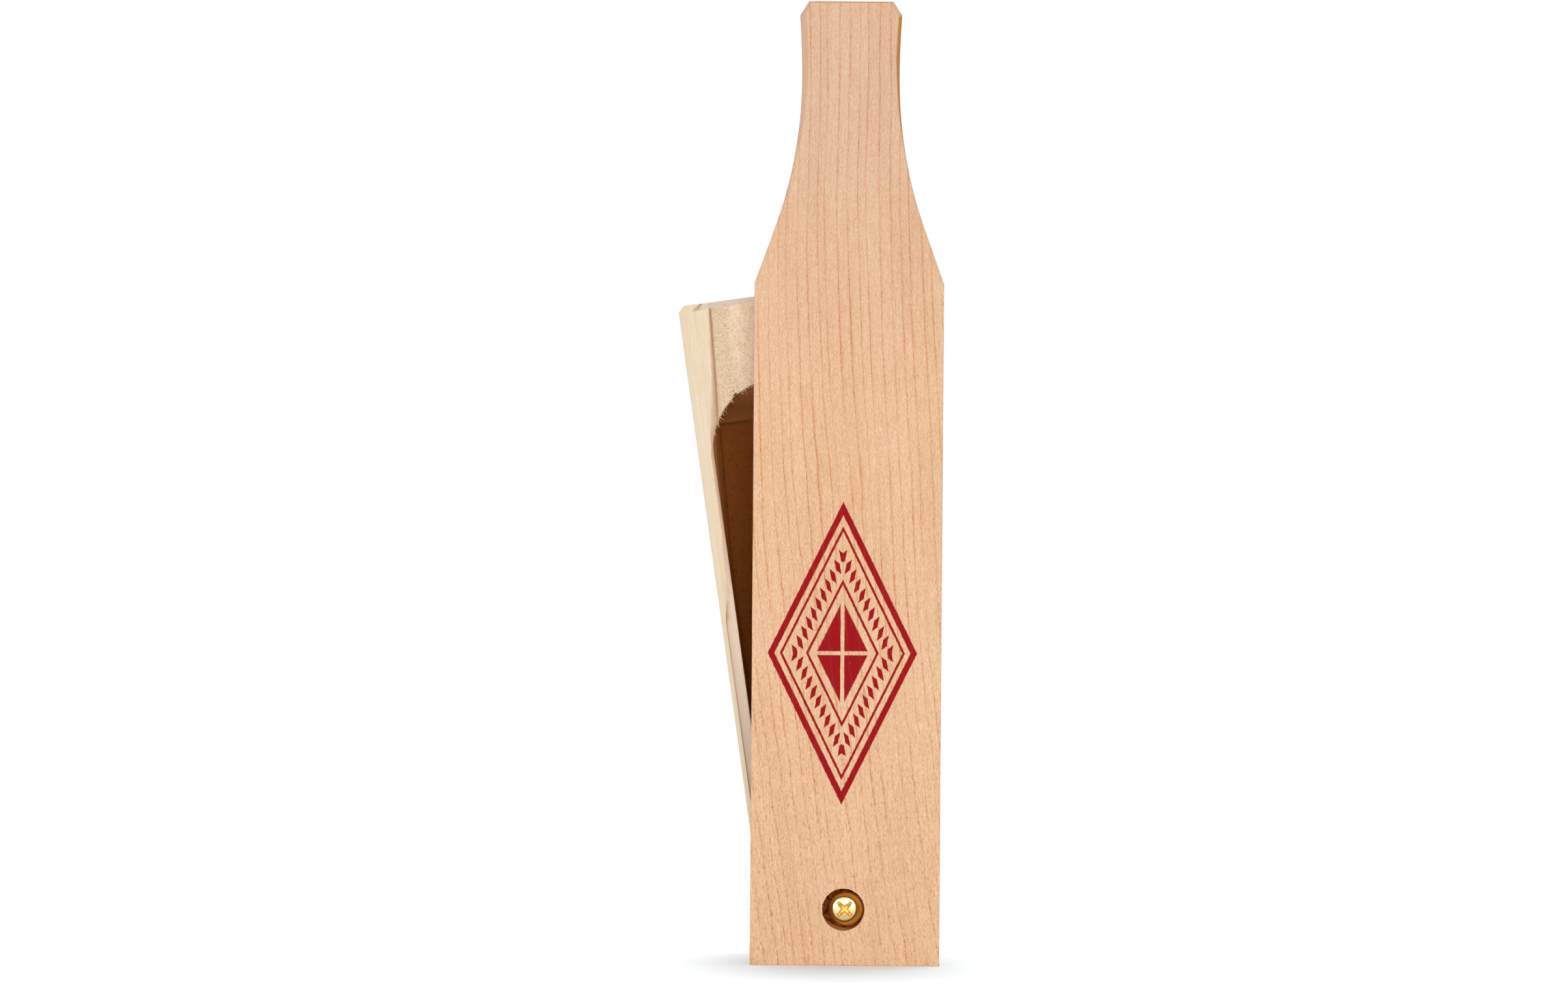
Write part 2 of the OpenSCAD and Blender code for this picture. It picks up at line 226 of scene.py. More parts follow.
class ScrewSettings(bpy.types.PropertyGroup):
    head: length("Head", "Diameter of the pan head", 0.006)
    head_height: length("Head height", "Height of the pan head", 0.0023)
    seat_y: length(
        "Seat", "Depth of the underside of the head behind the middle of the lid", 0.00011129
    )
    shank: length("Shank", "Diameter of the shank and over the thread", 0.0035)
    long: length("Length", "Length below the head", 0.03175)
    plain: length("Plain length", "Length of the plain shank", 0.014)
    pitch: length("Pitch", "Distance from one thread to the next", 0.0014)
    thread: length("Thread", "Depth of the thread", 0.0005)
    point: length("Point", "Length of the point", 0.004)
    crown_radius: length("Crown radius", "Radius to which the top of the head is domed", 0.0088)
    crown_share: FloatProperty(
        name="Crown share", description="Share of the head's radius that the crown takes up",
        default=0.965, min=0.5, max=0.98, subtype="FACTOR",
    )
    cross: length("Cross", "Span of the cross", 0.0049)
    cross_wide: length("Cross width", "Width of its arms", 0.0010)
    cross_deep: length("Cross depth", "Depth of the cross", 0.0016)
    metal: colour("Brass", "Colour of the brass", "f8e2a6")


class SpringSettings(bpy.types.PropertyGroup):
    wire: length("Wire", "Diameter of the wire", 0.0007)
    coil: length("Coil", "Diameter to the middle of the wire", 0.0056)
    start: length("Start", "Depth at which the middle of the wire begins", 0.0052)
    end: length("End", "Depth at which the middle of the wire ends", 0.0132)
    turns: IntProperty(name="Turns", description="Number of turns", default=6, min=2, max=12)
    metal: colour("Steel", "Colour of the drawn wire", "b9bcc0")


class StageSettings(bpy.types.PropertyGroup):
    distance: length("Distance", "From the camera to the face of the lid", 1.6)
    across: FloatProperty(
        name="Across", description="Where the camera stands from left to right",
        default=-0.01495, unit="LENGTH",
    )
    height: length("Height", "Height of the camera", 0.1104)
    frame_wide: length("Frame", "Width of the picture at the face of the lid", 0.3672)
    roll: angle("Roll", "How far the camera is tilted", 0.43)
    floor: colour("Floor", "Colour of the floor", "eef8ff")


def millimetres(settings):
    """The values of a property group, with its lengths in millimetres and its angles in radians."""
    values = SimpleNamespace()
    for item in settings.bl_rna.properties:
        if item.identifier in ("rna_type", "name"):
            continue
        value = getattr(settings, item.identifier)
        if getattr(item, "unit", "NONE") == "LENGTH":
            value *= PER_METRE
        elif item.type == "FLOAT" and getattr(item, "is_array", False):
            value = tuple(value)
        setattr(values, item.identifier, value)
    return values


def arithmetic(operation, swapped=False):
    """A method that joins a value and another term in one Math node."""
    def method(self, other):
        terms = (other, self) if swapped else (self, other)
        return self.graph.math(operation, *terms)
    return method


class Value:
    """An output of a node; arithmetic on it adds Math nodes."""

    __add__, __radd__ = arithmetic("ADD"), arithmetic("ADD", swapped=True)
    __sub__, __rsub__ = arithmetic("SUBTRACT"), arithmetic("SUBTRACT", swapped=True)
    __mul__, __rmul__ = arithmetic("MULTIPLY"), arithmetic("MULTIPLY", swapped=True)
    __truediv__ = arithmetic("DIVIDE")

    def __init__(self, graph, socket):
        self.graph = graph
        self.socket = socket

    def __abs__(self):
        return self.graph.math("ABSOLUTE", self)


class Graph:
    """A tree of nodes and the values that run between them."""

    def __init__(self, tree):
        self.tree = tree
        tree.nodes.clear()

    def node(self, kind, inputs=(), out=0, **settings):
        """Adds a node: its settings first, then the values or links of its sockets."""
        made = self.tree.nodes.new(kind)
        for name, value in settings.items():
            setattr(made, name, value)
        for key, value in inputs.items() if isinstance(inputs, dict) else enumerate(inputs):
            if isinstance(value, Value):
                self.tree.links.new(value.socket, made.inputs[key])
            else:
                made.inputs[key].default_value = value
        return Value(self, made.outputs[out]) if made.outputs else None

    def outputs(self, kind, inputs=(), **settings):
        """Adds a node and gives back all its outputs by name."""
        made = self.node(kind, inputs, **settings).socket.node
        return {socket.name: Value(self, socket) for socket in made.outputs}

    def math(self, operation, *terms):
        return self.node("ShaderNodeMath", terms, operation=operation)

    def least(self, *terms):
        return self.math("MINIMUM", *terms)

    def most(self, *terms):
        return self.math("MAXIMUM", *terms)

    def clamp(self, value):
        return self.node("ShaderNodeClamp", (value, 0.0, 1.0))

    def root(self, value):
        return self.math("SQRT", value)

    def away(self, x, y):
        """How far a place lies from the middle of its plane."""
        return self.root(x * x + y * y)


class Paint(Graph):
    """The nodes of one material."""

    def __init__(self, name):
        self.material = bpy.data.materials.new(name)
        self.material.use_nodes = True
        super().__init__(self.material.node_tree)

    def fade(self, value, low, high):
        """A smooth step from 0 at low to 1 at high; low may be the larger."""
        if low > high:
            return 1 - self.fade(value, high, low)
        return self.node(
            "ShaderNodeMapRange", (value, low, high, 0.0, 1.0), interpolation_type="SMOOTHSTEP"
        )

    def bell(self, value, middle, inner, outer):
        """1 within inner of the middle, 0 beyond outer."""
        return self.fade(abs(value - middle), outer, inner)

    def place(self):
        """Object coordinates in millimetres: across, into and up the call."""
        spot = self.node("ShaderNodeTexCoord", out="Object")
        scaled = self.node(
            "ShaderNodeVectorMath", {"Vector": spot, "Scale": PER_METRE}, operation="SCALE"
        )
        return self.outputs("ShaderNodeSeparateXYZ", (scaled,)).values()

    def noise(self, x, y, z, detail=2.0, rough=0.5, seed=0.0):
        """Noise of a place whose coordinates are already scaled, from about 0 to about 1."""
        vector = self.node("ShaderNodeCombineXYZ", (x + seed if seed else x, y, z))
        return self.node("ShaderNodeTexNoise", {
            "Vector": vector, "Scale": 1.0, "Detail": detail, "Roughness": rough,
        })

    def mix(self, factor, first, second):
        """A colour between two colours."""
        pair = [c if isinstance(c, Value) else (*c[:3], 1.0) for c in (first, second)]
        return self.node(
            "ShaderNodeMix", {0: factor, MIX_FIRST: pair[0], MIX_SECOND: pair[1]},
            out=MIX_RESULT, data_type="RGBA",
        )

    def marks(self):
        """The first three marks that a skin gives each of its points, and the fourth."""
        found = self.outputs("ShaderNodeAttribute", attribute_name="marks")
        parts = self.outputs("ShaderNodeSeparateColor", (found["Color"],))
        return [*parts.values(), found["Alpha"]]

    def finish(self, base, rough, height=None, relief=0.0, **constants):
        """Ends the material in one Principled surface; relief is the bump's depth in metres."""
        inputs = {"Base Color": base, "Roughness": rough}
        inputs.update({name.replace("_", " "): value for name, value in constants.items()})
        if height is not None:
            inputs["Normal"] = self.node(
                "ShaderNodeBump", {"Strength": 1.0, "Distance": relief, "Height": height}
            )
        surface = self.node("ShaderNodeBsdfPrincipled", inputs)
        self.node("ShaderNodeOutputMaterial", (surface,))
        return self.material


def add_object(name, data):
    """Puts a new object in the scene."""
    made = bpy.data.objects.new(name, data)
    bpy.context.scene.collection.objects.link(made)
    return made


class Plan:
    """Points and lines in a flat drawing, joined into triangles that keep every line."""

    def __init__(self):
        self.points = []
        self.lines = []

    def line(self, points, closed=False):
        """Adds a line through points that the triangles keep."""
        start = len(self.points)
        self.points += [tuple(p) for p in points]
        count = len(self.points) - start
        self.lines += [(start + i, start + i + 1) for i in range(count - 1)]
        if closed:
            self.lines.append((start + count - 1, start))

    def scatter(self, points):
        """Adds points on their own."""
        self.points += [tuple(p) for p in points]

    def triangles(self):
        """The points and the triangles between them."""
        made = delaunay_2d_cdt([Vector(p) for p in self.points], self.lines, [], 0, 1e-4)
        return np.array([v[:] for v in made[0]]), np.array([f[:] for f in made[2]])


def inside(points, loop):
    """Which points lie inside a closed loop."""
    x, y = points[:, :1], points[:, 1:2]
    a, b = np.asarray(loop), np.roll(np.asarray(loop), -1, axis=0)
    straddles = (a[:, 1] > y) != (b[:, 1] > y)
    with np.errstate(divide="ignore", invalid="ignore"):
        crossing = a[:, 0] + (y - a[:, 1]) * (b[:, 0] - a[:, 0]) / (b[:, 1] - a[:, 1])
    return (straddles & (x < crossing)).sum(axis=1) % 2 == 1


def edge_distance(points, loop):
    """How far each point lies from a closed loop."""
    a, b = np.asarray(loop), np.roll(np.asarray(loop), -1, axis=0)
    run = b - a
    size = np.maximum((run ** 2).sum(axis=1), 1e-12)
    best = np.full(len(points), np.inf)
    for start in range(0, len(points), 500):
        part = points[start:start + 500, None, :]
        share = np.clip(((part - a) * run).sum(axis=2) / size, 0, 1)
        away = part - (a + share[..., None] * run)
        best[start:start + 500] = np.sqrt((away ** 2).sum(axis=2).min(axis=1))
    return best


def inset(loop, size):
    """A loop that runs anticlockwise, moved inwards by size."""
    points = np.asarray(loop, float)
    run = np.roll(points, -1, axis=0) - points
    normal = np.stack((-run[:, 1], run[:, 0]), axis=1) / np.linalg.norm(run, axis=1)[:, None]
    before = np.roll(normal, 1, axis=0)
    both = normal + before
    scale = 2 / np.maximum((both ** 2).sum(axis=1), 0.5)
    return points + both * scale[:, None] * size


def dense(points, spacing, closed=False):
    """Points along a line, no further apart than spacing."""
    points = [np.asarray(p, float) for p in points]
    if closed:
        points.append(points[0])
    made = []
    for a, b in zip(points, points[1:]):
        count = max(1, math.ceil(np.linalg.norm(b - a) / spacing))
        made += [a + (b - a) * i / count for i in range(count)]
    return np.array(made if closed else made + [points[-1]])


def arc(centre, radius, start, end, steps):
    """Points of an arc; the angles are in radians and the end is included."""
    turn = np.linspace(start, end, steps + 1)
    return np.stack((centre[0] + radius * np.cos(turn), centre[1] + radius * np.sin(turn)), axis=1)


def spokes(count):
    """Angles spread evenly round a circle, and the directions in which they point."""
    turn = np.linspace(0, 2 * math.pi, count, endpoint=False)
    return turn, np.stack((np.cos(turn), np.sin(turn)), axis=1)


def lattice(across, up):
    """The points of a grid, row by row."""
    across, up = np.meshgrid(across, up)
    return np.stack((across.ravel(), up.ravel()), axis=1)


def at_depth(spots, depth):
    """Places across and up the call, taken to a depth."""
    return np.insert(spots, 1, depth, axis=1)


def wobble(values, period, seed):
    """Smooth unevenness from -1 to 1 along a line of values."""
    heights = [noise.noise(Vector((value / period, seed, 0.5))) for value in np.ravel(values)]
    return np.reshape(heights, np.shape(values))


def soft_max(a, b, width):
    """The larger of two heights, rounded where they meet."""
    overlap = np.maximum(width - np.abs(a - b), 0) / width
    return np.maximum(a, b) + overlap ** 2 * width / 4


def rounded(distance, radius):
    """How far a sanded edge falls below its surface at a distance from the edge."""
    run = np.clip(radius - distance, 0, radius)
    return radius - np.sqrt(np.maximum(radius ** 2 - run ** 2, 0))


def boundary_loops(faces, spots):
    """The loops of points round the open edges of a sheet of triangles, the tallest first."""
    edges = {(int(f[i]), int(f[(i + 1) % 3])) for f in faces for i in range(3)}
    after = {a: b for a, b in edges if (b, a) not in edges}
    loops = []
    while after:
        start = next(iter(after))
        loop = [start]
        step = after.pop(start)
        while step != start:
            loop.append(step)
            step = after.pop(step)
        loops.append(loop)
    return sorted(loops, key=lambda loop: -np.ptp(spots[loop][:, 1]))


def mend(mesh, doubles, slivers=0.0):
    """Merges doubles, dissolves slivers and turns the faces outwards."""
    work = bmesh.new()
    work.from_mesh(mesh)
    bmesh.ops.remove_doubles(work, verts=work.verts, dist=doubles)
    if slivers:
        bmesh.ops.dissolve_degenerate(work, edges=work.edges, dist=slivers)
    bmesh.ops.recalc_face_normals(work, faces=work.faces)
    work.to_mesh(mesh)
    work.free()


class Skin:
    """The points and faces of one piece, in millimetres, with four marks for each point."""

    def __init__(self):
        self.points = []
        self.marks = []
        self.faces = []

    def add(self, points, marks=UNMARKED):
        """Adds points and says where they start."""
        start = len(self.points)
        points = np.asarray(points, float)
        marks = np.broadcast_to(np.asarray(marks, float), (len(points), 4))
        self.points += points.tolist()
        self.marks += marks.tolist()
        return start

    def sheet(self, points, faces, marks=UNMARKED, flip=False):
        """Adds a sheet of triangles and says where its points start."""
        start = self.add(points, marks)
        order = (0, 2, 1) if flip else (0, 1, 2)
        self.faces += [[start + int(f[i]) for i in order] for f in faces]
        return start

    def bridge(self, first, second):
        """Joins two rings that have as many points."""
        after = [(i + 1) % len(first) for i in range(len(first))]
        self.faces += [[first[i], first[j], second[j], second[i]] for i, j in enumerate(after)]

    def ring(self, before, points, marks=UNMARKED):
        """Adds a closed ring of points and joins it to the ring before it, if there is one."""
        start = self.add(points, marks)
        ring = list(range(start, len(self.points)))
        if before:
            self.bridge(before, ring)
        return ring

    def fan(self, ring, point, marks=UNMARKED):
        """Closes a ring with triangles that meet in one point."""
        middle = self.add([point], marks)
        count = len(ring)
        self.faces += [[ring[i], ring[(i + 1) % count], middle] for i in range(count)]

    def piece(self, name, sharp=38):
        """Makes the mesh and shows it; edges sharper than the angle, in degrees, stay sharp."""
        mesh = bpy.data.meshes.new(name)
        mesh.from_pydata((np.array(self.points) * MM).tolist(), [], self.faces)
        marks = mesh.attributes.new("marks", "FLOAT_COLOR", "POINT")
        marks.data.foreach_set("color", np.array(self.marks, np.float32).ravel())
        mend(mesh, doubles=2e-6, slivers=1e-6)
        return show(name, mesh, sharp)


def show(name, mesh, sharp):
    """Puts a mesh in the scene, smooth up to an angle in degrees."""
    mesh.shade_smooth()
    mesh.set_sharp_from_angle(angle=math.radians(sharp))
    return add_object(name, mesh)


def settle(made, body, node, material):
    """Gives a finished piece its material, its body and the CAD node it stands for."""
    made.data.materials.clear()
    made.data.materials.append(material)
    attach(made, body)
    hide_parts(node)
    return made


def plain_mesh(made):
    """Swaps a piece with modifiers for a plain mesh of the same name."""
    name = made.name
    evaluated = made.evaluated_get(bpy.context.evaluated_depsgraph_get())
    mesh = bpy.data.meshes.new_from_object(evaluated)
    old = made.data
    bpy.data.objects.remove(made)
    if old.users == 0:
        bpy.data.meshes.remove(old)
    mesh.name = name
    return mesh


class LidShape:
    """Where the surfaces of the lid lie: places across and up it, and depths behind its middle."""

    def __init__(self, s):
        self.s = s
        self.half = s.wide / 2
        self.face = -s.thick / 2
        self.crown = s.thick / 2
        self.waist = s.waist / 2
        self.belly_radius = (self.half ** 2 + s.belly ** 2) / (2 * s.belly)
        self.waist_sag = self.sag(self.waist)
        self.bend = self.waist + s.waist_radius
        self.tip_turn = math.asin((s.long - s.clip_along - s.waist_height) / s.tip_radius)
        self.tip = self.waist + s.tip_radius * (1 - math.cos(self.tip_turn))
        across, up = self.bend - self.half, s.waist_height - s.shoulder
        touch = math.asin(s.waist_radius / math.hypot(across, up))
        self.flank = math.atan2(up, across) + touch - math.pi / 2

    def sag(self, x):
        """How far the arched underside falls off towards the sides."""
        return self.belly_radius - np.sqrt(self.belly_radius ** 2 - np.square(x))

    def hollow(self, radius, turn):
        """A place on the handle's hollowed side, at an angle above its waist."""
        across = self.waist + radius * (1 - math.cos(turn))
        return across, self.s.waist_height + radius * math.sin(turn)

    def right_edge(self):
        """Corners of the right half of the outline, from the foot to the tip."""
        s = self.s
        bends = [self.hollow(s.waist_radius, -self.flank * (1 - i / 44)) for i in range(44)]
        bends += [self.hollow(s.tip_radius, self.tip_turn * i / 16) for i in range(17)]
        return [(self.half, 0), (self.half, s.shoulder), *bends, (self.tip - s.clip_across, s.long)]

    def outline(self):
        """The outline, anticlockwise, with the slight unevenness of hand sanding."""
        right = self.right_edge()
        loop = dense(right + [(-x, z) for x, z in reversed(right)], 1.0, closed=True)
        depth = 0.03 * (1 + wobble(loop[:, 1] + 400 * (loop[:, 0] > 0), 9.0, 3.0))
        depth *= np.clip(np.minimum(loop[:, 1], self.s.long - loop[:, 1]) / 2, 0, 1)
        loop[:, 0] -= np.sign(loop[:, 0]) * depth
        return loop

    def bevels(self, x, z):
        """Depth of the handle's bevels below a skin, from the cones that cut them."""
        s = self.s
        height = s.waist_height + s.bevel_lift
        cuts = -np.ones_like(x)
        for side, size in ((-1, s.left_bevel), (1, s.right_bevel)):
            away = np.hypot(x - side * self.bend, z - height)
            uneven = 0.06 * wobble(z, 7.0, 11.0 + side)
            cuts = np.maximum(cuts, s.waist_radius + size + uneven - away)
        cuts = soft_max(cuts, s.top_bevel - (s.long - z), LID_BLEND)
        slope = math.hypot(s.clip_across, s.clip_along)
        for side in (-1, 1):
            away = (
                (self.tip - side * x) * s.clip_along + (s.long - s.clip_along - z) * s.clip_across
            ) / slope
            cuts = soft_max(cuts, s.tip_bevel - away, LID_BLEND)
        return cuts

    def front(self, x, z, distance):
        """Depth of the face."""
        cut = soft_max(self.bevels(x, z), np.zeros_like(x), LID_BLEND)
        return self.face + cut + rounded(distance, self.s.softness)

    def back(self, x, z, distance):
        """Depth of the arched underside."""
        skin = self.crown - self.sag(x)
        cut = self.bevels(x, z) + self.waist_sag - self.sag(x)
        cut = soft_max(cut, np.zeros_like(x), LID_BLEND)
        return skin - cut - rounded(distance, self.s.softness)

    def creases(self):
        """Lines along which the bevels meet the faces."""
        s = self.s
        lines = []
        for side, size in ((-1, s.left_bevel), (1, s.right_bevel)):
            for extra in (-0.2, 0.0, 0.2):
                turn = np.linspace(-0.36, 0.16, 80)
                reach = s.waist_radius + size + extra
                lines.append(np.stack((
                    side * (self.bend - reach * np.cos(turn)),
                    s.waist_height + s.bevel_lift + reach * np.sin(turn),
                ), axis=1))
        tip = [(self.tip, s.long - s.clip_along), (self.tip - s.clip_across, s.long)]
        tip += [(-x, z) for x, z in reversed(tip)]
        ends = [(self.tip + 3, s.long - 9), *tip, (-self.tip - 3, s.long - 9)]
        for size in (s.tip_bevel - 0.15, s.tip_bevel, s.tip_bevel + 0.15):
            lines.append(dense(inset(np.array(ends), size)[1:-1], 0.6))
        side = self.tip - s.clip_across
        for size in (s.top_bevel - 0.1, s.top_bevel, s.top_bevel + 0.1):
            lines.append(dense([(-side, s.long - size), (side, s.long - size)], 0.6))
        return lines


class SeatShape:
    """The counterbore, chipped at its upper left and worn at its lower left, and the hole."""

    def __init__(self, s):
        self.turn, self.spin = spokes(SEAT_SIDES)
        self.centre = np.array((-s.seat_offset, SCREW_UP))
        self.hole_centre = np.array((0.0, SCREW_UP))
        self.radius = s.seat / 2
        upper_left = np.clip(self.spin @ (-0.6, 0.8) + 0.3, 0, 1)
        self.worn = np.clip(self.spin @ (-0.3, -0.95), 0, 1) ** 2.5
        chips = np.clip(wobble(self.turn * 9, 1.0, 5.0) * 2 - 0.3, 0, 1) * upper_left
        self.ragged = 0.1 + 0.05 * wobble(self.turn * 14, 1.0, 8.0) + 0.36 * chips
        self.edge = self.centre + self.spin * (self.radius + self.ragged)[:, None]
        self.hole = self.hole_centre + self.spin * (s.hole / 2)


def lid_plan(shape, seat, outline):
    """The points and triangles of both faces of the lid, seen from the front."""
    plan = Plan()
    plan.line(outline, closed=True)
    for size in (0.04, 0.1, 0.16, 0.24):
        plan.line(inset(outline, size), closed=True)
    for crease in shape.creases():
        plan.line(crease)
    for extra in (0.25, 0.8):
        plan.line(seat.centre + seat.spin[::2] * (seat.radius + 0.3 + extra), closed=True)
    plan.line(seat.edge, closed=True)
    plan.line(seat.hole, closed=True)
    blade = lattice(np.linspace(-21.6, 21.6, 33), np.linspace(0.8, 225.0, 118))
    plan.scatter(blade[inside(blade, inset(outline, 0.5)) & (blade[:, 1] <= HANDLE_FOOT)])
    handle = lattice(np.linspace(-17.5, 17.5, 48), np.linspace(HANDLE_FOOT + 0.5, 225.2, 66))
    plan.scatter(handle[inside(handle, inset(outline, 0.45))])
    return plan.triangles()


def hang_seat(skin, shape, seat, ring):
    """The counterbore's wall and its drilled floor, as far as the screw's hole."""
    s = shape.s
    chatter = 0.025 * wobble(seat.turn * 20, 1.0, 21.0)
    for down, share, burn in (
        (0.05, 0.9, 0.8), (0.18, 0.55, 1.0), (0.45, 0.15, 1.0), (1.3, 0.0, 1.0), (2.6, 0.0, 1.0),
        (s.seat_depth - 0.25, 0.0, 1.0), (s.seat_depth, -0.04, 1.0),
    ):
        reach = seat.radius + seat.ragged * max(share, 0) + chatter * (share < 0.5) + min(share, 0)
        reach = reach - 0.7 * seat.worn * min(down / 1.3, 1.0)
        marks = np.zeros((len(reach), 4))
        marks[:, 0] = burn - 0.5 * seat.worn * (down < 1.4)
        spots = seat.centre + seat.spin * reach[:, None]
        ring = skin.ring(ring, at_depth(spots, shape.face + down), marks)
    foot = seat.centre + seat.spin * seat.radius
    for share in (0.08, 0.3, 0.6, 0.85, 1.0):
        spots = foot * (1 - share) + seat.hole * share
        away = np.linalg.norm(spots - seat.centre, axis=1)
        depth = shape.face + s.seat_depth + (seat.radius - away) / math.tan(s.drill / 2)
        ring = skin.ring(ring, at_depth(spots, depth), (1, 1, 0, 0))
    return ring


def make_lid_mesh(s):
    """The lid: two faces on one plan, joined round their edges and through the screw's hole."""
    shape, seat = LidShape(s), SeatShape(s)
    outline = shape.outline()
    points, faces = lid_plan(shape, seat, outline)
    middle = points[faces].mean(axis=1)
    kept = inside(middle, outline)
    distance = edge_distance(points, outline)
    skin = Skin()
    loops = []
    for surface, hole, flip in ((shape.front, seat.edge, False), (shape.back, seat.hole, True)):
        used, part = np.unique(faces[kept & ~inside(middle, hole)], return_inverse=True)
        part = part.reshape(-1, 3)
        spots = points[used]
        depth = surface(*spots.T, distance[used])
        start = skin.sheet(at_depth(spots, depth), part, flip=flip)
        loops.append([[start + i for i in loop] for loop in boundary_loops(part, spots)])
    (front_edge, seat_edge), (back_edge, hole_edge) = loops
    skin.bridge(front_edge, behind(skin.points, front_edge, back_edge))
    seat_edge = from_angle(skin.points, seat_edge, seat.centre)
    hole_edge = from_angle(skin.points, hole_edge, seat.hole_centre)
    skin.bridge(hang_seat(skin, shape, seat, seat_edge), hole_edge)
    return skin.piece("lid_board")


def from_angle(points, loop, centre):
    """A loop round a centre, started at angle 0 and run anticlockwise."""
    spots = np.array([points[i] for i in loop])[:, [0, 2]] - centre
    turn = np.arctan2(spots[:, 1], spots[:, 0]) % (2 * math.pi)
    turn[turn > 2 * math.pi - 1e-4] = 0
    return [loop[i] for i in np.argsort(turn)]


def behind(points, first, second):
    """The points of the second loop that stand behind those of the first, in their order."""
    def spot(i):
        return round(points[i][0], 3), round(points[i][2], 3)

    found = {spot(i): i for i in second}
    return [found[spot(i)] for i in first]


class BoxShape:
    """Where the sound box's surfaces lie: across it, along it from the screw, below its rims."""

    def __init__(self, s):
        self.s = s
        self.rim = LID_HIGH.y * PER_METRE + s.gap
        self.half = s.wide / 2
        self.cutter = s.chamber / 2
        self.near = s.pivot_block + self.cutter
        self.end = s.reach - s.end_block
        self.far = self.end - self.cutter
        self.turn = (math.cos(s.lean), math.sin(s.lean))
        # Places along the box, and the share of its half width at which the flat rim ends
        self.crest_table = (
            (-20, 0.945), (69.9, 0.945), (80.1, 0.879), (92.0, 0.853), (109.9, 0.848),
            (117.5, 0.807), (125.2, 0.735), (s.reach + 1, 0.625),
        )
        # Places along the box, and how far from its middle the milled surface begins
        self.foot_table = (
            (-20, 18.38), (70.0, 18.36), (72.5, 17.9), (76.5, 16.6), (79.5, self.cutter),
            (self.far, self.cutter),
        )
        self.foot_end = (
            (117.2, 14.05), (121.0, 13.65), (129.0, 13.0), (142.0, 12.2), (147.0, 12.0),
        )

    def world(self, t, s, d):
        """Places of the call for places t across the box, s along it and d below its rims."""
        cos, sin = self.turn
        t, s, d = np.broadcast_arrays(t, s, d)
        return np.stack((t * cos - s * sin, self.rim + d, SCREW_UP + t * sin + s * cos), axis=-1)

    def crest(self, s, side):
        """Where the flat rim ends, on its inner side."""
        where, share = zip(*self.crest_table)
        torn = 0.15 * wobble(s + 300 * side, 0.8, 2.0) + 0.11 * wobble(s + 300 * side, 3.1, 6.0)
        return np.interp(s, where, share) * self.half + torn * np.clip((s - 70) / 12, 0.15, 1)

    def foot(self, s, side):
        """Where the slope from the rim reaches the milled surface."""
        where, at = zip(*self.foot_table)
        low = np.interp(s, where, at)
        rise = np.clip(s - self.far, 0, self.cutter)
        curve = np.sqrt(self.cutter ** 2 - rise ** 2)
        where, at = zip(*self.foot_end)
        torn = 0.07 * wobble(s + 500 * side, 1.3, 4.0) * np.clip((s - 118) / 3, 0, 1)
        high = np.interp(s, where, at) + torn
        return np.where(s < self.far, low, np.where(s < 117.2, np.maximum(curve, high), high))

    def slope(self, t, s):
        """0 on the flat rims, 1 on the milled surface, and a share of that between them."""
        side = np.sign(t)
        crest, foot = self.crest(s, side), self.foot(s, side)
        return np.clip((crest - np.abs(t)) / np.maximum(crest - foot, 0.06), 0, 1)

    def top(self, t, s, distance):
        """Depth of the front surface below the plane of the rims."""
        v = self.s
        across = np.abs(t)
        cut = v.long_bevel - (self.half - across) + 0.04 * wobble(s, 12.0, 31.0)
        cut = soft_max(cut, v.end_bevel - (s + v.rear), BOX_BLEND)
        limit = self.half - v.land - v.land_slant * (s - (v.reach - v.end_bevel)) / v.end_bevel
        rough = 0.05 * wobble(t, 1.1, 17.0)
        milled = self.slope(t, s)
        far = v.end_bevel + rough + v.end_sink * milled - (v.reach - s)
        far = far * np.clip((limit - across) / 0.4, 0, 1)
        cut = soft_max(cut, np.where(s > v.reach - v.end_bevel - 0.3, far, -1), BOX_BLEND)
        deep = milled * (v.step + 0.02 * wobble(t * 3 + s, 2.0, 9.0))
        channel = np.clip((self.cutter - across) / 0.1, 0, 1) * (s < self.near)
        deep = deep + channel * (v.channel - v.step)
        cut = soft_max(soft_max(cut, np.zeros_like(t), BOX_BLEND), deep, BOX_BLEND / 2)
        return np.maximum(cut, 0) + rounded(distance, RIM_SOFTNESS)

    def marks(self, t, s):
        """Milled, the painted shadow line at the foot of the step, and torn slope, as shares for
        the material.
        """
        across = np.abs(t)
        slope = self.slope(t, s)
        foot = self.foot(s, np.sign(t))
        upper = np.clip((s - 112) / 8, 0, 1)
        lower = np.clip((76 - s) / 4, 0, 1) * 0.6
        # Painted shadow line at the foot of the step
        line = np.exp(-((across - foot) / 0.28) ** 2) * np.maximum(upper, lower)
        torn = np.clip(4 * slope * (1 - slope) * 1.6, 0, 1)
        near_edge = (s > 78) & (s < 118) & (slope > 0.3)
        torn = np.where(near_edge, np.maximum(torn, 0.8), torn)
        return np.stack((np.zeros_like(t), slope, line, torn), axis=-1)

    def chamber_loop(self):
        """The edge of the chamber, anticlockwise."""
        right = dense([(self.cutter, self.near), (self.cutter, self.far)], 1.0)
        left = dense([(-self.cutter, self.far), (-self.cutter, self.near)], 1.0)
        far = arc((0, self.far), self.cutter, 0, math.pi, 130)[1:-1]
        near = arc((0, self.near), self.cutter, math.pi, 2 * math.pi, 110)[1:-1]
        loop = np.concatenate((right, far, left, near))
        torn = 0.05 * wobble(np.arange(len(loop)) * 0.45, 1.0, 12.0)
        middle = np.clip(loop[:, 1], self.near, self.far)
        out = loop - np.stack((np.zeros(len(loop)), middle), axis=1)
        reach = np.linalg.norm(out, axis=1)[:, None]
        bent = np.clip((loop[:, 1] - self.far) / 3, 0, 1)
        return loop + out / reach * (np.minimum(torn, 0.02) * bent)[:, None]


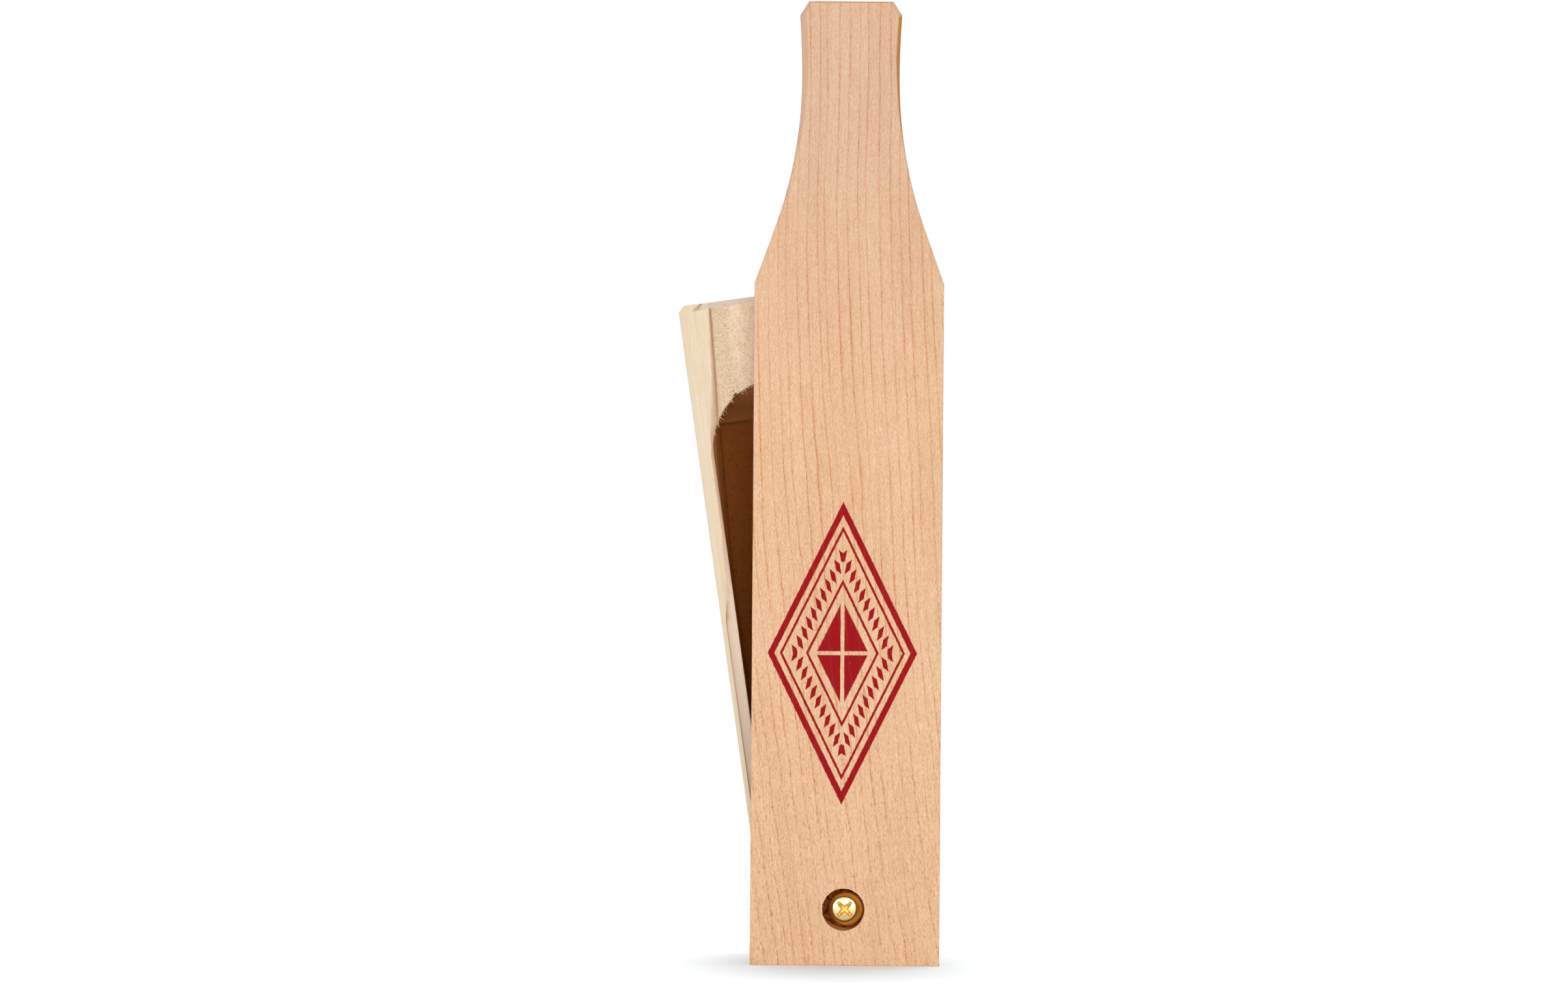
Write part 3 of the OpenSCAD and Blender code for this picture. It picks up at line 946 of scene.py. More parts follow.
def box_plan(shape, outline, chamber, pocket):
    """The points and triangles of the box's front, with a line wherever its surfaces meet."""
    s, half = shape.s, shape.half
    land = half - s.land
    low, high = -s.rear - 1, s.reach + 1
    fine = np.concatenate((np.arange(low, 70, 1.0), np.arange(70, high, 0.22)))
    plan = Plan()
    plan.line(outline, closed=True)
    for size in (0.04, 0.09, 0.15):
        plan.line(inset(outline, size), closed=True)
    for side in (-1, 1):
        for extra in (-0.15, 0.0, 0.15):
            at = side * (half - s.long_bevel + extra)
            plan.line(dense([(at, low), (at, high)], 1.2))
        crest, foot = shape.crest(fine, side), shape.foot(fine, side)
        for reach, start, end in (
            (crest, low, high), (crest + 0.12, low, high), (foot, low, high),
            (foot - 0.2, 117.4, high), (foot - 0.5, 117.4, high), ((crest + foot) / 2, 79, 130),
        ):
            part = (fine >= start) & (fine < end)
            plan.line(np.stack((side * reach, fine), axis=1)[part])
        for extra in (0.0, 0.2, 0.4):
            plan.line([
                (side * (land - extra), s.reach - s.end_bevel),
                (side * (land - s.land_slant - extra), s.reach),
            ])
        for at in (shape.cutter, shape.cutter - 0.1):
            plan.line(dense([(side * at, low), (side * at, shape.near)], 1.2))
    rear_bevel, far_bevel = s.end_bevel - s.rear, s.reach - s.end_bevel
    for at in (
        rear_bevel - 0.15, rear_bevel, rear_bevel + 0.15,
        s.channel - s.rear, s.end_bevel - s.channel - s.rear,
    ):
        plan.line(dense([(-half - 1, at), (half + 1, at)], 1.2))
    sunk = far_bevel + s.step - s.end_sink
    for at in (
        far_bevel - 0.15, far_bevel, far_bevel + 0.15, sunk - 0.06, sunk + 0.06, far_bevel + 0.35,
    ):
        plan.line(dense([(-land - 0.2, at), (land + 0.2, at)], 0.35))
    plan.line(chamber, closed=True)
    for size in (0.05, 0.11, 0.3, 0.8):
        plan.line(inset(chamber, -size), closed=True)
    plan.line(pocket, closed=True)
    plan.line(pocket * 1.04, closed=True)
    grid = lattice(np.arange(-half, half, 0.9), np.arange(118, s.reach - 1.8, 0.9))
    plan.scatter(grid[inside(grid, inset(outline, 0.5)) & ~inside(grid, inset(chamber, -1.0))])
    return plan.triangles()


def hang_sides(skin, shape, edge, depth, ring):
    """The sides of the box, bevelled at both ends, and its back."""
    s, half = shape.s, shape.half
    ends = np.maximum(
        s.long_bevel - (half - np.abs(edge[:, 0])),
        s.end_bevel - np.minimum(edge[:, 1] + s.rear, s.reach - edge[:, 1]),
    )
    for share in (0.1, 0.5, 0.9):
        down = depth * (1 - share) + (s.deep - ends) * share
        ring = skin.ring(ring, shape.world(*edge.T, down))
    inner = np.stack((
        np.clip(edge[:, 0], s.long_bevel - half, half - s.long_bevel),
        np.clip(edge[:, 1], s.end_bevel - s.rear, s.reach - s.end_bevel),
    ), axis=1)
    for share, lift, tuck in (
        (0.0, 0.12, 0.0), (0.06, 0.0, 0.0), (0.94, 0.0, 0.0), (1.0, 0.0, 0.03),
    ):
        flat = edge * (1 - share) + inner * share + (inner - edge) * tuck
        down = (s.deep - ends) * (1 - share) + s.deep * share - lift
        ring = skin.ring(ring, shape.world(*flat.T, down))
    skin_fill(skin, shape, flat, s.deep, 4.0)


def hang_chamber(skin, shape, edge, depth, ring):
    """The walls of the chamber, rounded into its floor."""
    s = shape.s
    # From this share of the depth on, the walls turn in by up to so much
    rounded_from, fillet = 0.965, 0.5
    for share in (0.0, 0.02, 0.1, 0.25, 0.4, 0.55, 0.7, 0.85, rounded_from, 0.99, 1.0):
        down = depth + 0.07 + (s.chamber_depth - depth - 0.07) * share
        flat = chamber_places(shape, edge, down)
        round_in = fillet * max(0.0, (share - rounded_from) / (1 - rounded_from)) ** 2
        centre = np.stack((np.zeros(len(flat)), np.clip(flat[:, 1], 30, 108)), axis=1)
        away = flat - centre
        flat = flat - away / np.linalg.norm(away, axis=1)[:, None] * round_in
        ring = skin.ring(ring, shape.world(*flat.T, down), (1, share, 0, 0))
    skin_fill(skin, shape, flat, s.chamber_depth, 2.0, (1, 1, 0, 0))


def hang_pocket(skin, shape, edge, depth, ring):
    """The spring's pocket and, below it, the screw's hole."""
    s = shape.s
    floor, bore = s.channel + s.pocket_depth, s.bore / s.pocket
    bore_end = s.deep - 7.0
    for share, down in (
        (1.0, s.channel + 0.1), (1.0, floor - 0.2), (0.97, floor), (bore * 1.06, floor),
        (bore, floor + 0.15), (bore, bore_end),
    ):
        ring = skin.ring(ring, shape.world(edge[:, 0] * share, edge[:, 1] * share, down), IN_BORE)
    skin.fan(ring, shape.world(0.0, 0.0, bore_end + 1.0), IN_BORE)


def make_sound_box_mesh(s):
    """The sound box: its front on one plan, with its sides, chamber and pocket hung from it."""
    shape = BoxShape(s)
    half, c = shape.half, s.corner
    outline = dense([
        (half, c - s.rear), (half, s.reach - c), (half - c, s.reach), (c - half, s.reach),
        (-half, s.reach - c), (-half, c - s.rear), (c - half, -s.rear), (half - c, -s.rear),
    ], 0.9, closed=True)
    chamber = shape.chamber_loop()
    pocket = spokes(POCKET_SIDES)[1] * s.pocket / 2
    points, faces = box_plan(shape, outline, chamber, pocket)
    middle = points[faces].mean(axis=1)
    faces = faces[inside(middle, outline) & ~inside(middle, chamber) & ~inside(middle, pocket)]
    used, faces = np.unique(faces, return_inverse=True)
    faces = faces.reshape(-1, 3)
    spots = points[used]
    distance = np.minimum(edge_distance(spots, outline), edge_distance(spots, chamber) + 0.02)
    depth = shape.top(*spots.T, distance)
    skin = Skin()
    start = skin.sheet(shape.world(*spots.T, depth), faces, shape.marks(*spots.T), flip=True)
    hung = (hang_sides, hang_chamber, hang_pocket)
    for hang, loop in zip(hung, boundary_loops(faces, spots)):
        hang(skin, shape, spots[loop], depth[loop], [start + i for i in loop])
    return skin.piece("sound_block", 34)


def chamber_places(shape, edge, down):
    """The chamber's edge carried down, each point to its own depth."""
    v = shape.s
    share = down / v.chamber_depth
    s = np.minimum(edge[:, 1], shape.end - v.end_ramp * share)
    drawn = np.maximum(v.side_ramp * (share + (s - shape.far) / v.side_ramp_long), 0)
    t = np.clip(edge[:, 0], drawn - shape.cutter, shape.cutter - drawn)
    return np.stack((t, s), axis=1)


def skin_fill(skin, shape, loop, depth, spacing, marks=UNMARKED):
    """Closes a loop at one depth with a sheet of even triangles."""
    ring = [tuple(p) for i, p in enumerate(loop) if np.linalg.norm(p - loop[i - 1]) > 2e-3]
    plan = Plan()
    plan.line(ring, closed=True)
    low, high = np.min(ring, axis=0), np.max(ring, axis=0)
    grid = lattice(np.arange(low[0], high[0], spacing), np.arange(low[1], high[1], spacing))
    near = edge_distance(grid, ring) < spacing * 0.4
    plan.scatter(grid[inside(grid, ring) & ~near])
    points, faces = plan.triangles()
    faces = faces[inside(points[faces].mean(axis=1), ring)]
    skin.sheet(shape.world(points[:, 0], points[:, 1], depth), faces, marks)


def turned(skin, before, reach, depth):
    """Adds a ring about the screw's axis."""
    spots = spokes(SCREW_SIDES)[1] * np.reshape(reach, (-1, 1)) + (0.0, SCREW_UP)
    return skin.ring(before, at_depth(spots, depth))


def head_profile(s):
    """Pairs of radius and depth from the middle of the crown to the end of the plain shank."""
    radius, top = s.head / 2, s.seat_y - s.head_height
    crown = radius * s.crown_share
    fall, slope = crown ** 2 / (2 * s.crown_radius), crown / s.crown_radius
    profile = []
    # The crown, whose first ring keeps a little off the axis
    for i in range(11):
        away = crown * i / 10
        profile.append((away + 0.02 * (i == 0), top + away ** 2 / (2 * s.crown_radius)))
    lead = (radius - crown) * 0.55
    stops = (
        (crown, fall), (crown + lead, fall + lead * slope), (radius, fall + 0.25),
        (radius, fall + 0.65),
    )
    # The shoulder, a Bezier curve between four stops
    for i in range(1, 13):
        a = i / 12
        weights = ((1 - a) ** 3, 3 * a * (1 - a) ** 2, 3 * a * a * (1 - a), a ** 3)
        reach, down = (sum(w * p for w, p in zip(weights, places)) for places in zip(*stops))
        profile.append((reach, top + down))
    return profile + [
        (radius, s.seat_y - 0.1), (radius - 0.02, s.seat_y - 0.03),
        (radius - 0.09, s.seat_y), (s.shank / 2 + 0.12, s.seat_y), (s.shank / 2, s.seat_y + 0.12),
        (s.shank / 2, s.seat_y + s.plain),
    ]


def cross_cutter(s):
    """A tapered cross that starts above the head, with four arms turned by 45 degrees."""
    top = s.seat_y - s.head_height
    cutter, ring = Skin(), None
    for down in (-0.8, 0.0, s.cross_deep * 0.6, s.cross_deep - 0.12, s.cross_deep):
        share = down / s.cross_deep
        arm = s.cross / 2 * (1 - 0.55 * share)
        side = s.cross_wide / 2 * (1 - 0.28 * share)
        if down == s.cross_deep:
            arm, side = arm * 0.8, side * 0.8
        star = []
        for quarter in range(4):
            a = math.pi / 4 + quarter * math.pi / 2
            u = np.array((math.cos(a), math.sin(a)))
            w = np.array((-u[1], u[0]))
            star += [
                u * side * 1.25 - w * side * 1.25, u * arm - w * side * 0.8,
                u * (arm + side * 0.28), u * arm + w * side * 0.8,
            ]
        ring = cutter.ring(ring, at_depth(np.array(star) + (0.0, SCREW_UP), top + down))
    cutter.fan(ring, (0, top + s.cross_deep + 0.15, SCREW_UP))
    cutter.fan(list(reversed(range(len(ring)))), (0, top - 0.8, SCREW_UP))
    return cutter.piece("cross_cutter")


def make_screw_mesh(s):
    """The screw: a domed head with a tapered cross, a plain shank and a wound thread."""
    skin, ring = Skin(), None
    for reach, depth in head_profile(s):
        ring = turned(skin, ring, reach, depth)
    skin.fan(list(range(SCREW_SIDES)), (0, s.seat_y - s.head_height, SCREW_UP))
    turn = spokes(SCREW_SIDES)[0]
    core = s.shank / 2 - s.thread
    for down in np.arange(s.plain + 0.1, s.long - 0.1, s.pitch / 12):
        taper = min(1.0, (s.long - down) / s.point)
        crest = np.abs(((down / s.pitch - turn / (2 * math.pi)) % 1.0) - 0.5) * 2
        start = np.clip((down - s.plain) / s.pitch, 0, 1)
        ridge = np.clip(1 - crest * 2.6, 0, 1) * s.thread * start
        reach = (core + (s.shank / 2 - core) * (1 - start) + ridge) * max(taper, 0.03)
        ring = turned(skin, ring, reach, s.seat_y + down)
    skin.fan(ring, (0, s.seat_y + s.long, SCREW_UP))
    body = skin.piece("lid_screw_brass", 50)
    tool = cross_cutter(s)
    cut = body.modifiers.new("Cross", "BOOLEAN")
    cut.operation, cut.solver, cut.object = "DIFFERENCE", "EXACT", tool
    soften = body.modifiers.new("Soften", "BEVEL")
    soften.width, soften.segments, soften.limit_method = 0.00005, 2, "ANGLE"
    soften.angle_limit = math.radians(32)
    mesh = plain_mesh(body)
    bpy.data.objects.remove(tool)
    return show("lid_screw_brass", mesh, 45)


class Recipe(Graph):
    """The nodes of a Geometry Nodes group with named inputs."""

    def __init__(self, name, sizes):
        super().__init__(bpy.data.node_groups.new(name, "GeometryNodeTree"))
        face = self.tree.interface
        face.new_socket("Geometry", in_out="INPUT", socket_type="NodeSocketGeometry")
        self.values = {}
        for label, value in sizes.items():
            kind = "NodeSocketInt" if isinstance(value, int) else "NodeSocketFloat"
            made = face.new_socket(label, in_out="INPUT", socket_type=kind)
            self.values[made.identifier] = value
        face.new_socket("Geometry", in_out="OUTPUT", socket_type="NodeSocketGeometry")
        self.given = self.outputs("NodeGroupInput")

    def random(self, low, high, seed, kind="FLOAT"):
        """A random value between two others for each point or instance."""
        first, second, result = RANDOM_LOW_HIGH_RESULT[kind]
        return self.node(
            "FunctionNodeRandomValue", {first: low, second: high, RANDOM_SEED: seed}, out=result,
            data_type=kind,
        )

    def grow(self, name, base, geometry, material, sharp):
        """Runs the group on a base mesh and gives back a piece with a plain mesh."""
        real = self.node("GeometryNodeRealizeInstances", {"Geometry": geometry})
        dressed = self.node("GeometryNodeSetMaterial", {"Geometry": real, "Material": material})
        self.node("NodeGroupOutput", (dressed,))
        made = add_object(name, base)
        maker = made.modifiers.new(name, "NODES")
        maker.node_group = self.tree
        for identifier, value in self.values.items():
            maker[identifier] = value
        mesh = plain_mesh(made)
        mend(mesh, doubles=1e-7)
        return show(name, mesh, sharp)


def make_spring_mesh(s):
    """The spring: a wire wound by Geometry Nodes, with each end straight for one diameter."""
    steps = s.turns * COIL_STEPS
    recipe = Recipe("wound spring", {
        "Coil radius": s.coil / 2 * MM, "Wire radius": s.wire / 2 * MM, "Start": s.start * MM,
        "Rise": (s.end - s.start) * MM, "Turns": float(s.turns), "Height": SCREW_HEIGHT,
    })
    node, given = recipe.node, recipe.given
    line = node("GeometryNodeMeshLine", {"Count": steps + 3}, mode="OFFSET")
    order = node("GeometryNodeInputIndex") - 1.0
    share = recipe.clamp(order / float(steps))
    turn = share * given["Turns"] * (2 * math.pi)
    first = recipe.clamp(order * -1.0)
    last = recipe.clamp(order - float(steps))
    past = (last - first) * (s.wire * MM)
    x = recipe.math("COSINE", turn) * given["Coil radius"]
    z = recipe.math("SINE", turn) * given["Coil radius"] + past + given["Height"]
    y = share * given["Rise"] + given["Start"]
    spot = node("ShaderNodeCombineXYZ", (x, y, z))
    placed = node("GeometryNodeSetPosition", {"Geometry": line, "Position": spot})
    path = node("GeometryNodeMeshToCurve", {"Mesh": placed})
    round_wire = node(
        "GeometryNodeCurvePrimitiveCircle", {"Resolution": 14, "Radius": given["Wire radius"]}
    )
    tube = node(
        "GeometryNodeCurveToMesh", {"Curve": path, "Profile Curve": round_wire, "Fill Caps": True}
    )
    base = bpy.data.meshes.new("lid_spring_steel")
    return recipe.grow("lid_spring_steel", base, tube, steel_wire(s), 60)


def fibre_places(shape):
    """The chamber's torn edge, and where loose fibres stand, across and along the box."""
    chamber = shape.chamber_loop()
    edge = inset(chamber, -0.02)
    edge = edge[edge[:, 1] > 114]
    right, left = edge[edge[:, 0] > 0], edge[edge[:, 0] <= 0]
    path = np.concatenate((right[np.argsort(right[:, 1])], left[np.argsort(-left[:, 1])]))
    field = lattice(np.arange(-12.2, 12.3, 0.4), np.arange(117.0, 144.3, 0.4))
    field = field[~inside(field, inset(chamber, -0.8))]
    tuft = np.random.default_rng(4).normal(TUFT, TUFT_SPREAD, (TUFT_FIBRES, 2))
    return path, np.concatenate((field, tuft[~inside(tuft, chamber)]))


def add_hairs(recipe, points, turn, size):
    """Stands a bent hair of random length on each point."""
    span = recipe.random(0.15, 1.0, 7)
    span = span * span * size + 0.18
    hair = recipe.node("GeometryNodeCurveQuadraticBezier", {
        "Resolution": 5, "Start": (0.0, 0.0, 0.0), "Middle": (0.5, -0.16, 0.2),
        "End": (1.0, 0.05, 0.1),
    })
    placed = recipe.node("GeometryNodeInstanceOnPoints", {
        "Points": points, "Instance": hair, "Rotation": turn,
        "Scale": span * recipe.given["Longest"],
    })
    return recipe.node("GeometryNodeRealizeInstances", {"Geometry": placed})


def make_fibres(s):
    """Torn fibres along the edge of the chamber and on the milled wood inside the rims."""
    shape = BoxShape(s)
    path, field = fibre_places(shape)
    points = np.concatenate((
        shape.world(*path.T, s.step + 0.05) * MM, shape.world(*field.T, s.step - 0.01) * MM,
    ))
    base = bpy.data.meshes.new("chamber_fibres")
    base.from_pydata(points.tolist(), [(i, i + 1) for i in range(len(path) - 1)], [])

    recipe = Recipe("torn fibres", {
        "Whiskers": 230, "Thickness": 0.00008, "Share": 0.2, "Seed": 11,
        "Longest": s.fibre * MM, "Lean": math.pi / 2 - s.lean,
    })
    node, random, given = recipe.node, recipe.random, recipe.given
    whole = given["Geometry"]
    curve = node("GeometryNodeMeshToCurve", {"Mesh": whole})
    edge_points = node(
        "GeometryNodeCurveToPoints", {"Curve": curve, "Count": given["Whiskers"]}, mode="COUNT"
    )
    keep = node(
        "FunctionNodeCompare", (random(0.0, 1.0, given["Seed"]), given["Share"]),
        operation="LESS_THAN", data_type="FLOAT",
    )
    loose = node(
        "GeometryNodeSeparateGeometry", {"Geometry": whole, "Selection": keep}, domain="POINT"
    )
    low = node("ShaderNodeCombineXYZ", (0.0, given["Lean"] - 0.75, -0.32))
    high = node("ShaderNodeCombineXYZ", (6.28, given["Lean"] + 0.75, 0.1))
    shift = random((-0.0002, 0.0, -0.0002), (0.0002, 0.00008, 0.0002), 5, "FLOAT_VECTOR")
    joined = node("GeometryNodeJoinGeometry")
    for where, turn, size in (
        (edge_points, random(low, high, 3, "FLOAT_VECTOR"), 1.0),
        (loose, random((-0.5, 0.0, -0.12), (0.5, 6.28, 0.12), 4, "FLOAT_VECTOR"), 0.62),
    ):
        nudged = node("GeometryNodeSetPosition", {"Geometry": where, "Offset": shift})
        hairs = add_hairs(recipe, nudged, turn, size)
        recipe.tree.links.new(hairs.socket, joined.socket.node.inputs[0])
    taper = 1.0 - node("GeometryNodeSplineParameter") * 0.75
    thinned = node("GeometryNodeSetCurveRadius", {"Curve": joined, "Radius": taper})
    profile = node(
        "GeometryNodeCurvePrimitiveCircle", {"Resolution": 4, "Radius": given["Thickness"]}
    )
    tube = node("GeometryNodeCurveToMesh", {
        "Curve": thinned, "Profile Curve": profile, "Scale": taper, "Fill Caps": True,
    })
    return recipe.grow("chamber_fibres", base, tube, torn_fibres(s), 80)


def growth_rings(paint, across, along, through, spacing, seed, breaks):
    """The dark line and the soft band of growth rings that cross a board."""
    uneven = paint.noise(across * 0.16, 0.0, seed, detail=2.0)
    turns = (across + uneven * 4.5) / spacing
    number = paint.math("FLOOR", turns)
    phase = turns - number
    strength = paint.noise(number * 5.37, along * 0.03, seed + 3.1, detail=1.0)
    broken = paint.noise(number * 3.1, along * 0.42, through * 0.3, detail=2.0, rough=0.7)
    pores = paint.noise(across * 3.0, along * 1.9, through * 2.0, detail=2.0, rough=0.7)
    after = phase * spacing
    before = (1 - phase) * spacing
    sharp = paint.math("EXPONENT", before * -14.0) + paint.math("EXPONENT", after * -8.0)
    band = paint.math("EXPONENT", after * -1.2)
    strength = paint.fade(strength, 0.33, 0.68)
    dashes = (paint.fade(broken, 0.4, 0.62) - 1) * breaks + 1
    dashes = dashes * (paint.fade(pores, 0.42, 0.62) * 0.6 + 0.5)
    return paint.least(sharp * (strength * 0.75 + 0.25) * dashes, 1.0), band * strength


def ornament(paint, x, z):
    """A printed lozenge of plain bands and a chain of small diamonds."""
    wide, tall = 17.5, 35.5
    across, up = abs(x + 1.0) / wide, abs(z - 73.2) / tall
    reach = across + up
    along = across - up
    outer = paint.bell(reach, 0.955, 0.04, 0.05)
    thin = paint.bell(reach, 0.82, 0.014, 0.022)
    links = along / 0.125
    spot = abs(links - paint.math("ROUND", links)) / 0.36 + abs(reach - 0.64) / 0.10
    chain = paint.fade(spot, 1.06, 0.94)
    inner = paint.bell(reach, 0.47, 0.014, 0.022)
    heart = paint.fade(reach, 0.36, 0.345)
    cross = paint.least(across * wide, up * tall)
    heart = heart * paint.fade(cross, 0.35, 0.55)
    return paint.most(paint.most(paint.most(outer, thin), paint.most(inner, chain)), heart)


def handle_look(paint, s, place, base):
    """The handle's bevels in painted shade, browner on the right, and the sawn end of its tip."""
    x, y, z = place
    handle = paint.fade(z, 186.0, 196.0) * paint.fade(y, -4.72, -4.5)
    # Painted shade on the left bevel
    left = handle * paint.fade(x, -8.0, -10.5) * paint.fade(y, -2.6, -3.3)
    base = paint.mix(left * 0.5, base, SHADED_LEFT_BEVEL)
    # Painted shade on the right bevel, darker and browner
    right = handle * paint.fade(x, 8.0, 10.5) * paint.fade(z, 222.8, 222.2)
    right = right * paint.fade(y, -3.2, -3.9)
    base = paint.mix(right * 0.8, base, SHADED_RIGHT_BEVEL)
    clip = (
        (LidShape(s).tip - abs(x)) * s.clip_along + (s.long - s.clip_along - z) * s.clip_across
    ) / math.hypot(s.clip_along, s.clip_across)
    clip = paint.fade(clip, s.tip_bevel + 0.1, s.tip_bevel - 0.15) * paint.fade(x, 6.0, -6.0)
    base = paint.mix(clip * 0.5, base, s.cool)
    top = s.long - s.top_bevel
    sawn = paint.fade(z, top + 0.02, top + 0.12) * paint.fade(abs(x), 9.6, 9.0)
    base = paint.mix(sawn * 0.8, base, SAWN_TIP)
    edge = paint.bell(z, top - 0.05, 0.04, 0.2) * paint.fade(abs(x), 8.9, 8.5)
    return paint.mix(edge * 0.75, base, s.edge)


def seat_look(paint, s, place, base, burn, floor):
    """The counterbore, scorched on its wall, with painted light and the head's painted reflection
    in amber on its floor.
    """
    x, y, z = place
    soot = paint.noise(x * 1.3, y * 1.1, z * 1.3, detail=3.0, rough=0.6, seed=3.0)
    reach = paint.away(x - LIT_AMBER_RIGHT, z - SCREW_UP) + (soot - 0.5) * 0.9
    charred = paint.mix(paint.fade(soot, 0.38, 0.64) * 0.75, s.scorch, CHARRED)
    # Painted light and reflection: the floor round the head is amber, centred right of the screw
    lit_amber = paint.mix(paint.fade(soot, 0.35, 0.7), LIT_DEEP_AMBER, LIT_AMBER)
    charred = paint.mix(floor * paint.fade(reach, 4.05, 3.3), charred, lit_amber)
    base = paint.mix(paint.fade(burn, 0.0, 0.5), base, SINGED)
    return paint.mix(paint.fade(burn, 0.5, 1.0), base, charred)


def lid_wood(s):
    """Pale board: wavy rings, fine fibres, short flecks, a scorched seat, a print, painted light
    and shade.
    """
    paint = Paint("lid wood")
    x, y, z = paint.place()
    lift = paint.most(192 - z, 0.0)
    low = paint.fade(z, 150.0, 20.0)
    wander = paint.noise(x * 0.045, y * 0.05, z * 0.013, detail=1.5) * 4.0
    ripple = paint.noise(x * 0.22, y * 0.2, z * 0.09, detail=2.0, seed=7.0)
    wander = wander + ripple * (low * 1.0 + 0.35)
    through = x * -0.42 + y * 0.91
    across = x * 0.91 + y * 0.42 - lift * lift * 0.00039 + wander
    line, band = growth_rings(paint, across, z, through, s.ring, 2.0, low * 0.5 + 0.35)
    fibre = paint.noise(across * 2.8, through * 2.0, z * 0.2, detail=3.0, rough=0.62)
    fine = paint.noise(across * 5.0, through * 5.0, z * 1.5, detail=2.0, rough=0.65, seed=4.0)
    fleck = paint.noise(across * 4.0, through * 3.0, z * 0.9, detail=1.0, seed=9.0)
    fleck = paint.fade(fleck, 0.57, 0.7)
    cloud = paint.noise(across * 0.16, through * 0.1, z * 0.02, detail=2.0, seed=1.0)
    tone = (cloud - 0.5) * 0.4 + (fibre - 0.5) * 0.75 + (fine - 0.5) * 1.5 + band * 0.1
    # Painted light: paler towards the bottom, and most in the lowest 14 mm, against the shade near
    # the floor
    tone = tone - low * 0.07 - paint.fade(z, 14.0, 0.0) * 0.08
    base = paint.mix(paint.least(paint.most(tone + 0.45, 0.0), 1.0), s.pale, s.warm)
    base = paint.mix(paint.fade(z, 120.0, 215.0) * 0.24, base, s.cool)
    drawn = line * (1.3 + low * 0.2) + fleck * (0.14 + low * 0.24)
    base = paint.mix(paint.least(drawn, 1.0), base, s.dark)
    base = handle_look(paint, s, (x, y, z), base)
    uneven_x = x + (fibre - 0.5) * 0.35 + (fine - 0.5) * 0.12
    ink = ornament(paint, uneven_x, z + (fine - 0.5) * 0.2)
    worn = paint.fade(paint.noise(x * 2.0, y, z * 0.6, detail=3.0, rough=0.7, seed=5.0), 0.24, 0.4)
    ink = ink * paint.fade(y, -4.55, -4.65) * (worn * 0.08 + 0.92) * (1 - line * 0.12)
    base = paint.mix(ink, base, s.print_red)

    burn, floor, *_ = paint.marks()
    middle = s.long / 2
    end = paint.fade(abs(z - middle), middle - 0.15, middle) * paint.fade(y, -4.6, -4.3)
    base = paint.mix(end * 0.25, base, s.dark)
    base = seat_look(paint, s, (x, y, z), base, burn, floor)
    rough = 0.52 + (fibre - 0.5) * 0.2 + burn * 0.4
    height = fibre * 0.6 + fine * 0.3 - line * 0.12 + ink * 0.1
    return paint.finish(base, rough, height, 0.00003, Specular_IOR_Level=0.08)


def milled_look(paint, s, t, mottle, speck, fuzz):
    """The rough wood inside the rims: mottled, torn and fuzzy, with painted light towards the
    middle and painted shade beside the rims.
    """
    # Painted light: paler towards the middle of the box, where the lid shades it
    wood = paint.mix(paint.fade(abs(t), 9.8, 6.6), s.milled, MILLED_LIT)
    wood = paint.mix(paint.fade(mottle, 0.4, 0.75) * 0.55, wood, s.torn)
    wood = paint.mix(paint.fade(speck, 0.5, 0.3) * 0.8, wood, s.torn)
    wood = paint.mix(paint.fade(speck, 0.54, 0.66) * 0.8, wood, s.pale)
    wood = paint.mix(paint.fade(fuzz, 0.47, 0.3) * 0.55, wood, s.torn)
    wood = paint.mix(paint.fade(fuzz, 0.55, 0.68) * 0.7, wood, FUZZ_PALE)
    # Painted shade beside the rims
    return paint.mix(paint.fade(abs(t), 12.2, 14.0) * 0.5, wood, RIM_SHADE)


def chamber_look(paint, s, along, down, chatter):
    """The chamber: a scorched floor in painted shade, painted light on its sides and a browned
    rounded end.
    """
    above_floor = paint.fade(down, 0.99, 0.93)
    # The floor is scorched, and darker than the walls as painted shade at the bottom of the chamber
    walls = paint.mix(above_floor, s.scorched_and_shaded, s.browned)
    walls = paint.mix(paint.fade(chatter, 0.3, 0.75) * 0.3, walls, s.edge)
    walls = paint.mix(paint.fade(chatter, 0.55, 0.72) * 0.5, walls, CHATTER_DARK)
    # Painted light: the sides, from a third of the way down to the floor and short of the rounded
    # end, are lightened as if lit
    sides = above_floor * paint.fade(down, 0.0, 0.3) * paint.fade(along, 121.0, 116.0)
    return paint.mix(sides * 0.9, walls, s.lit_side_band)


